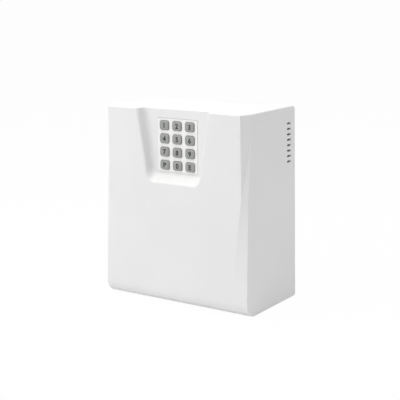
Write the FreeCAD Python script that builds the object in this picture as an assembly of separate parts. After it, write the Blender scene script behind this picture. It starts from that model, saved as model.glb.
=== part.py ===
"""Wall-mounted alarm panel with a keypad, built as separate pieces.

Frame: +X to the panel's right as seen from the front, +Y towards the wall, +Z up.
The origin is on the wall plane, at half the panel's height. While the pieces are
built, z runs from the panel's underside; `save` moves them to the origin.
"""
import FreeCAD
import Part

import math
import os

V = FreeCAD.Vector

# ---- casing ---------------------------------------------------------------
WIDTH = 204.0            # front face, measured along its lower edge
HEIGHT = 234.0
DEPTH = 112.0            # wall plane to front face
SIDE_LEAN = 3.2          # each side leans in by this much at the top
SIDE_DRAFT = 1.4         # each side spreads by this much at the wall
WALL = 2.5
BOTTOM_ROUND = 16.0      # front face rolls under into the bottom
REAR_ROUND = 4.0         # lower rear corner of the side panels
EDGE_ROUND = 0.8         # moulded edges between front, facets, sides and top
EDGE_NEAR = 0.06         # an edge this close to a face's place belongs to it
HINGE_ROUND = 5.0        # upper rear edge, centred on the hinge axis

# corner facets that run out down the front's vertical edges
FACET_WIDTH = 6.2
FACET_DEPTH = 13.0
RUNOUT_TOP = HEIGHT - 18.0     # height where the run-out leaves the side
RUNOUT_TOP_IN = 17.6
RUNOUT_TOP_DEEP = 13.6
RUNOUT_KNEE = HEIGHT - 95.0    # height where it reaches the front's edge of the facet
RUNOUT_KNEE_DEEP = 5.3
RUNOUT_FOOT = 22.0
RUNOUT_FOOT_IN = 22.0
RUNOUT_FOOT_PROUD = 0.12 # its foot lies this far in front of the face
CUTTER_PAST = 0.05       # a cutter's line runs past the corner's faces by this share

# keypad recess, open at the top
RECESS_DEPTH = 11.5
RECESS_TOP_HALF = 49.4
RECESS_LOW_HALF = 35.8
RECESS_BOTTOM = HEIGHT - 86.2
RECESS_WALL_LEAN = 1.6
LEDGE_RISE = 8.5
RECESS_CORNER = 9.0
RIM_ROUND = 3.2          # front face rolls into the recess
LEDGE_ROUND = 3.0

# side vents
VENT_COUNT = 8
VENT_PITCH = 6.47
VENT_TOP = HEIGHT - 19.8
VENT_LENGTH = 8.8
VENT_HEIGHT = 2.4
VENT_FROM_WALL = 14.5

# ---- clearances -----------------------------------------------------------
GAP = 0.3                # between pieces that move past each other
FIT = 0.1                # running fit and screw holes
COVER_GAP = 0.5          # between the cover and the back plate
FLAT_WITHIN = 1e-6       # corners this close to a plane make a flat face

# ---- keypad ---------------------------------------------------------------
KEY_WIDTH = 13.0
KEY_HEIGHT = 11.0
KEY_PITCH_X = 17.9
KEY_PITCH_Z = 15.7
KEY_TOP_ROW = HEIGHT - 19.4
KEY_ROUND = 2.6
KEY_CROWN_ROUND = 0.7
KEY_PROUD = 2.0
KEY_TRAVEL = 1.2
KEY_RIM = 0.8
KEY_RIM_THICK = 0.8
KEY_PILL_R = 3.0
COLUMNS = 3
KEY_NAMES = ["key_1", "key_2", "key_3", "key_4", "key_5", "key_6",
             "key_7", "key_8", "key_9", "key_program", "key_0", "key_enter"]
FASCIA_HALF = 28.2
FASCIA_LOW = HEIGHT - 74.7
FASCIA_HIGH = HEIGHT - 11.0
FASCIA_SIDE = 1.0        # thickness of the fascia's side walls
FASCIA_FACE = 2.0        # thickness of the fascia's front wall
FASCIA_SUNK = 0.3        # fascia stands this far forward of the recess floor
FASCIA_FLANGE = 3.0
FASCIA_FLANGE_THICK = 2.2
BOARD_THICK = 1.6
KEYPAD_SCREW_X = 35.2
KEYPAD_SCREW_LOW = HEIGHT - 69.0
KEYPAD_SCREW_HIGH = HEIGHT - 15.0
KEYPAD_BOARD_HALF = 38.4
KEYPAD_BOSS_R = 2.6
SMALL_SCREW_R = 1.1
SMALL_HEAD_R = 2.2
SMALL_HEAD_TALL = 1.6
BEEPER_R = 6.5
BEEPER_TALL = 7.0
BEEPER_PORT_R = 1.0
BEEPER_PORT_DEEP = 1.5
BEEPER_X = -20.0
BEEPER_Z = HEIGHT - 28.0
RIBBON_X = 14.0
RIBBON_WIDTH = 12.7
RIBBON_THICK = 1.0
RIBBON_Z = HEIGHT - 44.0
RIBBON_DROP = 9.0
PLUG_WIDTH = 17.6
PLUG_TALL = 6.2
PLUG_DEEP = 8.0
HEADER_DEEP = 9.0
HEADER_WALL = 1.1
HEADER_FLOOR = 1.5
HEADER_PINS = 5
PIN_HALF = 0.32

# ---- back plate -----------------------------------------------------------
PLATE = 3.0
PLATE_BOTTOM = 3.0
PLATE_TOP = HEIGHT - 10.5
WALL_HOLE_X = WIDTH - 104.0    # spacing of the four wall fixing holes
WALL_HOLE_LOW = 8.3
WALL_HOLE_HIGH = HEIGHT - 16.3
WALL_HOLE_R = 2.3
HINGE_X = WIDTH / 2 - 40.0
HINGE_KNUCKLE = 4.0
HINGE_EAR = 3.0
HINGE_EAR_HALF = 1.6
HINGE_PIN_R = 1.2
HINGE_KNUCKLE_R = 2.3
HINGE_EAR_ROOT = 12.0
HINGE_SIDE_GAP = 0.4
HINGE_MOUTH = 2.0
SCREW_X = WIDTH / 2 - 32.0
SCREW_FROM_WALL = 12.0
SCREW_R = 1.75
SCREW_HEAD_R = 3.4
SCREW_HEAD_TALL = 2.2
SCREW_SLOT = 1.0
SCREW_PAST = 2.0         # how far a cover screw's end stands past its tab
POCKET_HALF = 6.5
POCKET_DEEP = 19.0
POCKET_CEILING = 3.4
SLOT_HALF = 2.3
TAB_LIFT = 0.8           # between the cover's pocket and the tab above it
TAB_THICK = 3.0

# ---- battery --------------------------------------------------------------
BATTERY_W = WIDTH - 53.0       # what the mains block leaves beside it
BATTERY_D = DEPTH - 47.0       # what the wiring space leaves behind it
BATTERY_H = HEIGHT - 140.0     # what the main board leaves below it
BATTERY_IN = 16.0              # its left side, from the case's left side
SHELF_BOTTOM = 16.0            # the cover's screw pockets swing past below it
SHELF_THICK = 2.8
SHELF_RIB_IN = 45.0
SHELF_RIB = 2.0
SHELF_RIB_REACH = 40.0
BATTERY_ROUND = 1.5
LID_TALL = 13.2                # lid seam, below the top
SEAM = 0.8                     # height of the seam
SEAM_DEEP = 0.6
TERMINAL_UP = 6.0
TERMINAL_IN = 10.0             # tabs, from the battery's sides
TERMINAL_BACK = 14.0           # tabs, from the battery's front
TAB_FOOT = 8.0
TAB_DEEP = 7.0
TAB_BLADE = 4.8
TAB_METAL = 0.8
STRAP_WIDE = 12.0
STRAP_THICK = 1.0
STRAP_Z = SHELF_BOTTOM + BATTERY_H / 2 + 3.0
STRAP_FOOT = 11.0
STRAP_GAP = 0.3
STRAP_BOSS = 5.0

# ---- main board -----------------------------------------------------------
BOARD_LEFT = -WIDTH / 2 + 8.0
BOARD_RIGHT = WIDTH / 2 - 58.0
BOARD_WIDE = BOARD_RIGHT - BOARD_LEFT
BOARD_LOW = HEIGHT - 112.0
BOARD_HIGH = HEIGHT - 22.0
STANDOFF = 6.0
STANDOFF_R = 3.0
BOARD_HOLE_IN = 5.0
STRIP_POLES = 11
STRIP_PITCH = 5.08
STRIP_DEEP = 11.0
STRIP_TALL = 9.0
STRIP_IN = 8.0                 # first strip, from the board's left edge
STRIP_APART = 6.0
STRIP_UP = 1.0                 # strips, above the board's lower edge
POLE_R = 1.7
POLE_UP = 5.2                  # screw wells, above the strip's underside
POLE_DEEP = 4.0
MOUTH_WIDE = 2.8
MOUTH_NEAR = 3.5               # wire mouths, in front of the board
MOUTH_FAR = 7.0
MOUTH_TALL = 4.0
CLAMP_R = 1.6
CLAMP_SLOT = 0.6
RELAY_X = BOARD_RIGHT - BOARD_WIDE * 0.464
RELAY_Z = BOARD_LOW + 43.0
RELAY_W = 19.0
RELAY_H = 15.5
RELAY_D = 15.0
RELAY_ROUND = 0.8
CHIP_X = BOARD_LEFT + BOARD_WIDE * 0.246
CHIP_Z = BOARD_LOW + 53.0
CHIP_SIDE = 25.0
CHIP_TALL = 4.2
CHIP_ROUND = 0.6
CAN_X = BOARD_RIGHT - BOARD_WIDE * 0.101
CAN_Z = BOARD_LOW + 28.0
CAN_R = 6.5
CAN_TALL = 25.0
CAN_STEP = 17.0                # second can, above the first
SECOND_CAN_R = 5.0
SECOND_CAN_TALL = 20.0
THIRD_CAN_X = BOARD_LEFT + BOARD_WIDE * 0.377
THIRD_CAN_Z = BOARD_HIGH - 7.0
THIRD_CAN_R = 4.0
THIRD_CAN_TALL = 12.0
CAN_ROUND = 0.8
SINK_X = BOARD_RIGHT - BOARD_WIDE * 0.261
SINK_Z = BOARD_LOW + 38.0
SINK_W = 24.0
SINK_DEEP = 26.0
SINK_BASE = 1.8
SINK_FIN = 1.2
SINK_TALL = 8.0
FINS = 7
REGULATOR_W = 10.0
REGULATOR_TALL = 4.5
REGULATOR_LOW = 5.0            # body, from the board
REGULATOR_HIGH = 14.0
REGULATOR_END = 20.0
REGULATOR_TAB = 1.3
LEG_PITCH = 2.54
LEG_METAL = 0.8
FUSE_X = BOARD_RIGHT - BOARD_WIDE * 0.377
FUSE_Z = BOARD_HIGH - 8.0
FUSE_R = 2.6
FUSE_LONG = 20.0
FUSE_LIFT = 5.5                # fuse axis, from the board
CLIP_LONG = 6.0
CLIP_WIDE = 7.2
CLIP_TALL = 8.0
CLIP_MOUTH = 4.4

# ---- transformer ----------------------------------------------------------
CORE_W = 57.0
CORE_D = 47.5
STACK = 25.0
TRANSFORMER_X = WIDTH / 2 - 31.0
TRANSFORMER_Z = HEIGHT - 69.0
WINDING_OUT = 9.5
WINDING_ROUND = 4.0
LEG_WIDE = 9.5
FRAME_THICK = 1.0
FRAME_IN = 2.0
FOOT = 12.0
PAD = 4.0

# ---- mains block, cable entry, tamper switch ------------------------------
BLOCK_X = WIDTH / 2 - 20.0
BLOCK_Z = HEIGHT - 140.0
BLOCK_W = 26.0
BLOCK_H = 18.0
BLOCK_D = 15.0
BLOCK_WAYS = 3
BLOCK_WELL_R = 2.0
BLOCK_WELL = 6.0
BLOCK_MOUTH_R = 1.8
BLOCK_MOUTH_BACK = 9.0         # wire mouths, behind the block's face
BLOCK_MOUTH = 5.0
BLOCK_SEAT = 5.0               # fixing screws' seats, behind the block's face
BLOCK_GROOVE = 1.0
BLOCK_GROOVE_DEEP = 3.0
ENTRY_X = WIDTH / 2 - 21.0
ENTRY_Z = 36.0
ENTRY_R = 12.5
GROMMET_R = 9.0
GROMMET_LIP = 2.5
GROMMET_LIP_THICK = 1.8
TAMPER_X = WIDTH / 2 - 66.0     # on the flat of the floor, between the screw pockets
TAMPER_W = 12.8
TAMPER_H = 6.5
TAMPER_D = 5.8
TAMPER_FLOOR = 5.2
TAMPER_HOLE_IN = 2.2
TAMPER_HEAD_R = 1.9
TAMPER_HEAD_TALL = 1.2
PLUNGER_DEEP = 4.2
PLUNGER_ROUND = 0.6
PLUNGER_R = 1.2
PLUNGER_TRAVEL = 0.8
LEAD_R = 1.1

# ---- places worked out from the sizes above -------------------------------
FRONT = -DEPTH
HINGE_Y = -HINGE_ROUND
HINGE_Z = HEIGHT - HINGE_ROUND
FLOOR_Y = FRONT + RECESS_DEPTH
FASCIA_Y = FLOOR_Y - FASCIA_SUNK
MAT_Y = FASCIA_Y + FASCIA_FACE
KEYPAD_BOARD_Y = FLOOR_Y + WALL + FASCIA_FLANGE_THICK
KEYPAD_REAR_Y = KEYPAD_BOARD_Y + BOARD_THICK
BOARD_Y = -PLATE - STANDOFF - BOARD_THICK
BATTERY_X = BATTERY_W / 2 - WIDTH / 2 + BATTERY_IN
BATTERY_Y = -PLATE - BATTERY_D
BATTERY_LOW = SHELF_BOTTOM + SHELF_THICK
BATTERY_HIGH = BATTERY_LOW + BATTERY_H
TAB_LOW = POCKET_CEILING + WALL + TAB_LIFT


# ---- drawing helpers ------------------------------------------------------
def box(x0, x1, y0, y1, z0, z1):
    """Block between two corners."""
    return Part.makeBox(x1 - x0, y1 - y0, z1 - z0, V(x0, y0, z0))


def rod_y(radius, x, z, y0, y1):
    """Round bar along Y."""
    return Part.makeCylinder(radius, y1 - y0, V(x, y0, z), V(0, 1, 0))


def rod_z(radius, x, y, z0, z1):
    """Round bar along Z."""
    return Part.makeCylinder(radius, z1 - z0, V(x, y, z0), V(0, 0, 1))


def rod_x(radius, y, z, x0, x1):
    """Round bar along X."""
    return Part.makeCylinder(radius, x1 - x0, V(x0, y, z), V(1, 0, 0))


def join(shapes):
    """One solid from touching or overlapping shapes."""
    first = shapes[0]
    return first.fuse(shapes[1:]).removeSplitter() if len(shapes) > 1 else first


def side_face(a, b, c, d):
    """Face through four corners: a plane where they lie flat, else a ruled surface."""
    normal = (b - a).cross(d - a).normalize()
    if abs(normal.dot(c - a)) < FLAT_WITHIN:
        return Part.Face(Part.makePolygon([a, b, c, d, a]))
    return Part.makeRuledSurface(Part.LineSegment(a, b).toShape(), Part.LineSegment(d, c).toShape())


def loft(sections):
    """Solid between two polygons with the same number of corners."""
    first, last = sections
    faces = [Part.Face(Part.makePolygon(points + points[:1])) for points in sections]
    for a, b, c, d in zip(first, first[1:] + first[:1], last[1:] + last[:1], last):
        faces.append(side_face(a, b, c, d))
    shell = Part.makeShell(faces)
    shell.sewShape()
    solid = Part.makeSolid(shell)
    if solid.Volume < 0:
        solid.reverse()
    return solid


def profile_x(points, x0, x1):
    """Polygon in the YZ plane, given as (y, z), pushed from x0 to x1."""
    wire = Part.makePolygon([V(x0, y, z) for y, z in points + points[:1]])
    return Part.Face(wire).extrude(V(x1 - x0, 0, 0))


def round_box_y(half_x, half_z, radius, x, z, y0, y1):
    """Block along Y whose four long edges are rounded."""
    block = box(x - half_x, x + half_x, y0, y1, z - half_z, z + half_z)
    edges = [e for e in block.Edges if abs(e.Vertexes[0].Y - e.Vertexes[1].Y) > (y1 - y0) / 2]
    return block.makeFillet(radius, edges)


def edges_near(shape, point, reach):
    """Edges whose middle lies within reach of a point."""
    return [e for e in shape.Edges if e.valueAt((e.FirstParameter + e.LastParameter) / 2)
            .distanceToPoint(point) < reach]


def mirror_x(shape):
    """The same shape on the panel's other side."""
    return shape.mirror(V(0, 0, 0), V(1, 0, 0))


def both_sides(shape):
    """A shape and its mirror image."""
    return [shape, mirror_x(shape)]


def screw_y(x, z, seat_y, radius, length, head_r, head_tall):
    """Pan-head screw driven towards the wall, its head seated on seat_y."""
    head = rod_y(head_r, x, z, seat_y - head_tall, seat_y)
    rim = [e for e in head.Edges if abs(e.BoundBox.YMin - (seat_y - head_tall)) < 1e-6
           and e.BoundBox.YLength < 1e-6]
    head = head.makeFillet(head_tall * 0.45, rim)
    cross = join([box(x - head_r * 0.6, x + head_r * 0.6, seat_y - head_tall - 1,
                      seat_y - head_tall * 0.45, z - radius * 0.25, z + radius * 0.25),
                  box(x - radius * 0.25, x + radius * 0.25, seat_y - head_tall - 1,
                      seat_y - head_tall * 0.45, z - head_r * 0.6, z + head_r * 0.6)])
    shank = rod_y(radius, x, z, seat_y, seat_y + length)
    return join([head.cut(cross), shank])


def lead(points, radius):
    """Insulated wire: straight runs joined by tangent arcs as wide as the runs allow."""
    edges = []
    radii = []
    start = points[0]
    for before, corner, after in zip(points, points[1:], points[2:]):
        into = (corner - before).normalize()
        out = (after - corner).normalize()
        turn = into.getAngle(out)
        cut = 0.45 * min(corner.distanceToPoint(before), corner.distanceToPoint(after))
        bend = cut / math.tan(turn / 2)
        begin = corner - into * cut
        end = corner + out * cut
        centre = begin + (out - into * into.dot(out)).normalize() * bend
        middle = centre + (corner - centre).normalize() * bend
        edges.append(Part.LineSegment(start, begin).toShape())
        edges.append(Part.Arc(begin, middle, end).toShape())
        radii.append(round(bend, 1))
        start = end
    edges.append(Part.LineSegment(start, points[-1]).toShape())
    path = Part.Wire(edges)
    ring = Part.Wire(Part.makeCircle(radius, points[0], points[1] - points[0]))
    tube = path.makePipeShell([ring], True, False)
    share = tube.Volume / (math.pi * radius ** 2 * path.Length)
    print("lead length %.1f, volume over section x length %.4f, radii %s" % (path.Length, share, radii))
    return tube


def save(name, shape):
    """Write one piece, moved so that the origin is at half height on the wall."""
    placed = shape.copy()
    placed.translate(V(0, 0, -HEIGHT / 2))
    placed.exportStep(os.path.join("parts", name + ".step"))


# ---- front cover ----------------------------------------------------------
def side_x(y, z):
    """Half-width of the casing's outside at a depth and height."""
    return WIDTH / 2 - SIDE_LEAN * z / HEIGHT + SIDE_DRAFT * (y - FRONT) / DEPTH


def casing_block(inset, rear):
    """Casing as a solid, drawn in by inset on all faces but the rear one."""
    low = inset
    high = HEIGHT - inset
    sections = []
    for y in (FRONT + inset, rear):
        sections.append([V(-side_x(y, low) + inset, y, low), V(side_x(y, low) - inset, y, low),
                         V(side_x(y, high) - inset, y, high), V(-side_x(y, high) + inset, y, high)])
    block = loft(sections)
    edge = edges_near(block, V(0, FRONT + inset, low), 1.0)
    return block.makeFillet(BOTTOM_ROUND - inset, edge).Solids[0]


def corner_section(z, inward, deep, proud=0.0):
    """Triangle outside a line across the right-hand front corner at one height."""
    start = V(side_x(FRONT, z) - inward, FRONT - proud, z)
    end = V(side_x(FRONT + deep, z), FRONT + deep - proud, z)
    past = (end - start) * CUTTER_PAST
    return [start - past, end + past, V(end.x + FACET_DEPTH, FRONT - FACET_DEPTH, z)]


def corner_cutters(inset):
    """Facet above and twisting run-out below, for the right-hand front corner."""
    above = HEIGHT + 10.0
    over = (above - RUNOUT_KNEE) / (RUNOUT_TOP - RUNOUT_KNEE)
    top_in = FACET_WIDTH + (RUNOUT_TOP_IN - FACET_WIDTH) * over
    top_deep = RUNOUT_KNEE_DEEP + (RUNOUT_TOP_DEEP - RUNOUT_KNEE_DEEP) * over
    knee = corner_section(RUNOUT_KNEE, FACET_WIDTH, RUNOUT_KNEE_DEEP)
    facet = loft([corner_section(-10.0, FACET_WIDTH, FACET_DEPTH),
                  corner_section(above, FACET_WIDTH, FACET_DEPTH)])
    upper = loft([knee, corner_section(above, top_in, top_deep)])
    lower = loft([corner_section(RUNOUT_FOOT, RUNOUT_FOOT_IN, 0.0, RUNOUT_FOOT_PROUD), knee])
    cutters = [upper.common(facet).Solids[0], lower]
    for cutter in cutters:
        cutter.translate(V(-0.8 * inset, 0.65 * inset, 0))
    return cutters


def recess_block(grow):
    """The keypad recess as a solid; grown by the wall to give its inside skin."""
    lean = (RECESS_TOP_HALF - RECESS_LOW_HALF) / (HEIGHT - RECESS_BOTTOM)
    top = HEIGHT + 12.0
    sections = []
    floor_y = FLOOR_Y + grow
    steep = (LEDGE_RISE / RECESS_DEPTH, RECESS_WALL_LEAN / RECESS_DEPTH)
    for y in (FRONT - 1.0, floor_y):
        sunk = y - FRONT - grow
        low = RECESS_BOTTOM + steep[0] * sunk - grow
        at_low = RECESS_LOW_HALF + lean * (low - RECESS_BOTTOM) - steep[1] * sunk + grow
        at_top = RECESS_LOW_HALF + lean * (top - RECESS_BOTTOM) - steep[1] * sunk + grow
        sections.append([V(-at_low, y, low), V(at_low, y, low), V(at_top, y, top), V(-at_top, y, top)])
    block = loft(sections)
    corners = [e for e in block.Edges if e.BoundBox.YLength > RECESS_DEPTH
               and e.BoundBox.ZMax < RECESS_BOTTOM + LEDGE_RISE + grow + 2.0]
    block = block.makeFillet(RECESS_CORNER + grow, corners)
    rim = [e for e in block.Edges if e.BoundBox.YMin > floor_y - 0.01
           and e.BoundBox.ZMin < HEIGHT and e.BoundBox.ZMax < HEIGHT + 13.0
           and not (e.BoundBox.ZMin > HEIGHT)]
    return block.makeFillet(LEDGE_ROUND + grow, rim).Solids[0]


def on_recess_rim(edge):
    """True for an edge where the keypad recess opens in the front face."""
    middle = edge.valueAt((edge.FirstParameter + edge.LastParameter) / 2)
    return (abs(middle.y - FRONT) < EDGE_NEAR and middle.x < RECESS_TOP_HALF + EDGE_NEAR
            and RECESS_BOTTOM - EDGE_NEAR < middle.z < HEIGHT - EDGE_NEAR)


def on_outline(edge):
    """True for a right-hand outline edge of the casing: side, facet or top front."""
    middle = edge.valueAt((edge.FirstParameter + edge.LastParameter) / 2)
    on_side = abs(middle.x - side_x(middle.y, middle.z)) < EDGE_NEAR and middle.y < -REAR_ROUND
    on_top = (middle.z > HEIGHT - EDGE_NEAR and middle.y < FLOOR_Y - RIM_ROUND
              and middle.x > RECESS_TOP_HALF + RIM_ROUND)
    on_facet = (abs(middle.x - side_x(FRONT, middle.z) + FACET_WIDTH) < EDGE_NEAR
                and abs(middle.y - FRONT) < EDGE_NEAR and middle.z > RUNOUT_KNEE + EDGE_NEAR)
    return on_side or on_top or on_facet


def vent_slots():
    """Slots through the right-hand side, near the wall at the top."""
    slots = []
    inside = WIDTH / 2 - 4 * WALL
    half = VENT_HEIGHT / 2
    ends = VENT_LENGTH / 2 - half
    for i in range(VENT_COUNT):
        mid = V(inside, -VENT_FROM_WALL, VENT_TOP - i * VENT_PITCH)
        sides = []
        for way in (-1, 1):
            near = mid + V(0, -way * ends, way * half)
            far = mid + V(0, way * ends, way * half)
            bow = mid + V(0, way * (ends + half), 0)
            sides.append(Part.LineSegment(near, far).toShape())
            sides.append(Part.Arc(far, bow, mid + V(0, way * ends, -way * half)).toShape())
        slots.append(Part.Face(Part.Wire(sides)).extrude(V(8 * WALL, 0, 0)))
    return slots


def hinge_knuckle():
    """Snap-on knuckle under the cover's top wall, at the right-hand hinge."""
    x0 = HINGE_X - HINGE_KNUCKLE / 2
    x1 = HINGE_X + HINGE_KNUCKLE / 2
    body = join([rod_x(HINGE_KNUCKLE_R, HINGE_Y, HINGE_Z, x0, x1),
                 box(x0, x1, HINGE_Y - HINGE_KNUCKLE_R, HINGE_Y + HINGE_KNUCKLE_R,
                     HINGE_Z, HEIGHT - WALL + 0.5)])
    bore = rod_x(HINGE_PIN_R + FIT, HINGE_Y, HINGE_Z, x0 - 1, x1 + 1)
    mouth = box(x0 - 1, x1 + 1, HINGE_Y - HINGE_MOUTH / 2, HINGE_Y + HINGE_MOUTH / 2,
                HINGE_Z - HINGE_KNUCKLE_R - 1, HINGE_Z)
    return body.cut(bore).cut(mouth)


def screw_pocket():
    """Raised pocket in the cover's bottom wall, open to the rear, and its voids."""
    y1 = 0.0
    y0 = -POCKET_DEEP
    roof = POCKET_CEILING + WALL
    bump = box(SCREW_X - POCKET_HALF - WALL, SCREW_X + POCKET_HALF + WALL, y0 - WALL, y1 - WALL / 2,
               WALL / 2, roof)
    hollow = box(SCREW_X - POCKET_HALF, SCREW_X + POCKET_HALF, y0, y1 + 1, -1, POCKET_CEILING)
    slot = join([box(SCREW_X - SLOT_HALF, SCREW_X + SLOT_HALF, -SCREW_FROM_WALL, y1 + 1, 0, roof + 1),
                 rod_z(SLOT_HALF, SCREW_X, -SCREW_FROM_WALL, 0, roof + 1)])
    return bump, hollow.fuse(slot)


def cover_half():
    """Right-hand half of the shell, with its vents, screw pocket, knuckle and keypad bosses."""
    outer = casing_block(0.0, 0.0)
    outer = outer.makeFillet(HINGE_ROUND, edges_near(outer, V(0, 0, HEIGHT), 1.0))
    outer = outer.makeFillet(REAR_ROUND, edges_near(outer, V(0, 0, 0), 1.0))
    inner = casing_block(WALL, 1.0)
    for cutter in corner_cutters(0.0):
        outer = outer.cut(cutter)
    for cutter in corner_cutters(WALL):
        inner = inner.cut(cutter)
    half = outer.common(box(0, WIDTH, FRONT - 1, 1, -1, HEIGHT + 1)).cut(recess_block(0.0)).Solids[0]
    half = half.makeFillet(RIM_ROUND, [e for e in half.Edges if on_recess_rim(e)])
    half = half.makeFillet(EDGE_ROUND, [e for e in half.Edges if on_outline(e)])
    half = half.cut(inner.cut(recess_block(WALL)))
    for slot in vent_slots():
        half = half.cut(slot)
    bump, void = screw_pocket()
    added = [bump, hinge_knuckle()]
    holes = [void]
    for z in (KEYPAD_SCREW_LOW, KEYPAD_SCREW_HIGH):
        added.append(rod_y(KEYPAD_BOSS_R, KEYPAD_SCREW_X, z, FLOOR_Y + WALL / 2, KEYPAD_BOARD_Y))
        holes.append(rod_y(SMALL_SCREW_R, KEYPAD_SCREW_X, z, FLOOR_Y + WALL / 2, KEYPAD_BOARD_Y + 1))
    return join([half.Solids[0]] + added).cut(holes)


def front_cover():
    """Deep moulded shell: front, sides, top and bottom, with the keypad recess."""
    half = cover_half()
    window = round_box_y(FASCIA_HALF + GAP / 2, (FASCIA_HIGH - FASCIA_LOW) / 2 + GAP / 2, 1.0, 0,
                         (FASCIA_HIGH + FASCIA_LOW) / 2, FLOOR_Y - 2, FLOOR_Y + WALL + 1)
    return join(both_sides(half)).cut(window)


# ---- keypad ---------------------------------------------------------------
def key_places():
    """Name and centre (x, z) of each key, row by row from the top."""
    places = []
    for i, name in enumerate(KEY_NAMES):
        x = (i % COLUMNS - (COLUMNS - 1) / 2) * KEY_PITCH_X
        z = KEY_TOP_ROW - (i // COLUMNS) * KEY_PITCH_Z
        places.append((name, x, z))
    return places


def key(x, z):
    """Rubber key: cap, retaining rim behind the fascia, and contact pill."""
    face = FASCIA_Y - KEY_PROUD
    rim_y = MAT_Y + GAP
    cap = round_box_y(KEY_WIDTH / 2, KEY_HEIGHT / 2, KEY_ROUND, x, z, face, rim_y)
    crown = [e for e in cap.Edges if e.BoundBox.YMax < face + 0.01]
    cap = cap.makeFillet(KEY_CROWN_ROUND, crown)
    rim = round_box_y(KEY_WIDTH / 2 + KEY_RIM, KEY_HEIGHT / 2 + KEY_RIM, KEY_ROUND, x, z,
                      rim_y, rim_y + KEY_RIM_THICK)
    pill = rod_y(KEY_PILL_R, x, z, rim_y, KEYPAD_BOARD_Y - KEY_TRAVEL - GAP)
    return join([cap, rim, pill])


def keypad_fascia():
    """White insert that frames the keys, with a flange behind the recess floor."""
    middle = (FASCIA_HIGH + FASCIA_LOW) / 2
    half_z = (FASCIA_HIGH - FASCIA_LOW) / 2 - GAP / 2
    half_x = FASCIA_HALF - GAP / 2
    face = round_box_y(half_x, half_z, 1.0, 0, middle, FASCIA_Y, KEYPAD_BOARD_Y)
    flange = round_box_y(half_x + FASCIA_FLANGE, half_z + FASCIA_FLANGE, 2.0, 0, middle,
                         FLOOR_Y + WALL, KEYPAD_BOARD_Y)
    rest = FASCIA_SIDE
    tray = box(-half_x + rest, half_x - rest, MAT_Y, KEYPAD_BOARD_Y + 1,
               middle - half_z + rest, middle + half_z - rest)
    cuts = [tray]
    for name, x, z in key_places():
        cuts.append(round_box_y(KEY_WIDTH / 2 + GAP, KEY_HEIGHT / 2 + GAP, KEY_ROUND + GAP, x, z,
                                FASCIA_Y - 1, MAT_Y + 1))
    return join([face, flange]).cut(cuts)


def key_mat():
    """Silicone web between the keys, clamped between the fascia and the board."""
    middle = (FASCIA_HIGH + FASCIA_LOW) / 2
    half_z = (FASCIA_HIGH - FASCIA_LOW) / 2 - GAP / 2 - FASCIA_SIDE
    half_x = FASCIA_HALF - GAP / 2 - FASCIA_SIDE
    sheet = box(-half_x, half_x, MAT_Y, KEYPAD_BOARD_Y, middle - half_z, middle + half_z)
    cuts = []
    for name, x, z in key_places():
        reach = KEY_RIM + GAP
        cuts.append(round_box_y(KEY_WIDTH / 2 + reach, KEY_HEIGHT / 2 + reach, KEY_ROUND, x, z,
                                MAT_Y - 1, KEYPAD_BOARD_Y + 1))
    return sheet.cut(cuts)


def keypad_board():
    """Circuit board that closes the back of the keypad."""
    board = round_box_y(KEYPAD_BOARD_HALF, (KEYPAD_SCREW_HIGH - KEYPAD_SCREW_LOW) / 2 + 4.0, 1.5, 0,
                        (KEYPAD_SCREW_HIGH + KEYPAD_SCREW_LOW) / 2, KEYPAD_BOARD_Y, KEYPAD_REAR_Y)
    holes = []
    for x in (-KEYPAD_SCREW_X, KEYPAD_SCREW_X):
        for z in (KEYPAD_SCREW_LOW, KEYPAD_SCREW_HIGH):
            holes.append(rod_y(SMALL_SCREW_R + FIT, x, z, KEYPAD_BOARD_Y - 1, KEYPAD_REAR_Y + 1))
    return board.cut(holes)


def keypad_screws():
    """Four self-tapping screws that hold the keypad board to the cover."""
    screws = []
    for x in (-KEYPAD_SCREW_X, KEYPAD_SCREW_X):
        for z in (KEYPAD_SCREW_LOW, KEYPAD_SCREW_HIGH):
            screw = screw_y(x, z, -KEYPAD_REAR_Y, SMALL_SCREW_R, KEYPAD_REAR_Y - FLOOR_Y - WALL / 2,
                            SMALL_HEAD_R, SMALL_HEAD_TALL)
            screws.append(screw.mirror(V(0, 0, 0), V(0, 1, 0)))
    return Part.makeCompound(screws)


def keypad_beeper():
    """Round sounder on the back of the keypad board."""
    can = rod_y(BEEPER_R, BEEPER_X, BEEPER_Z, KEYPAD_REAR_Y, KEYPAD_REAR_Y + BEEPER_TALL)
    rear = KEYPAD_REAR_Y + BEEPER_TALL
    port = rod_y(BEEPER_PORT_R, BEEPER_X, BEEPER_Z, rear - BEEPER_PORT_DEEP, rear + 1)
    return can.cut(port)


def ribbon_socket():
    """Shrouded header on the back of the keypad board."""
    return box(RIBBON_X - PLUG_WIDTH / 2, RIBBON_X + PLUG_WIDTH / 2, KEYPAD_REAR_Y,
               KEYPAD_REAR_Y + PLUG_DEEP, RIBBON_Z - PLUG_TALL / 2, RIBBON_Z + PLUG_TALL / 2)


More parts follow.
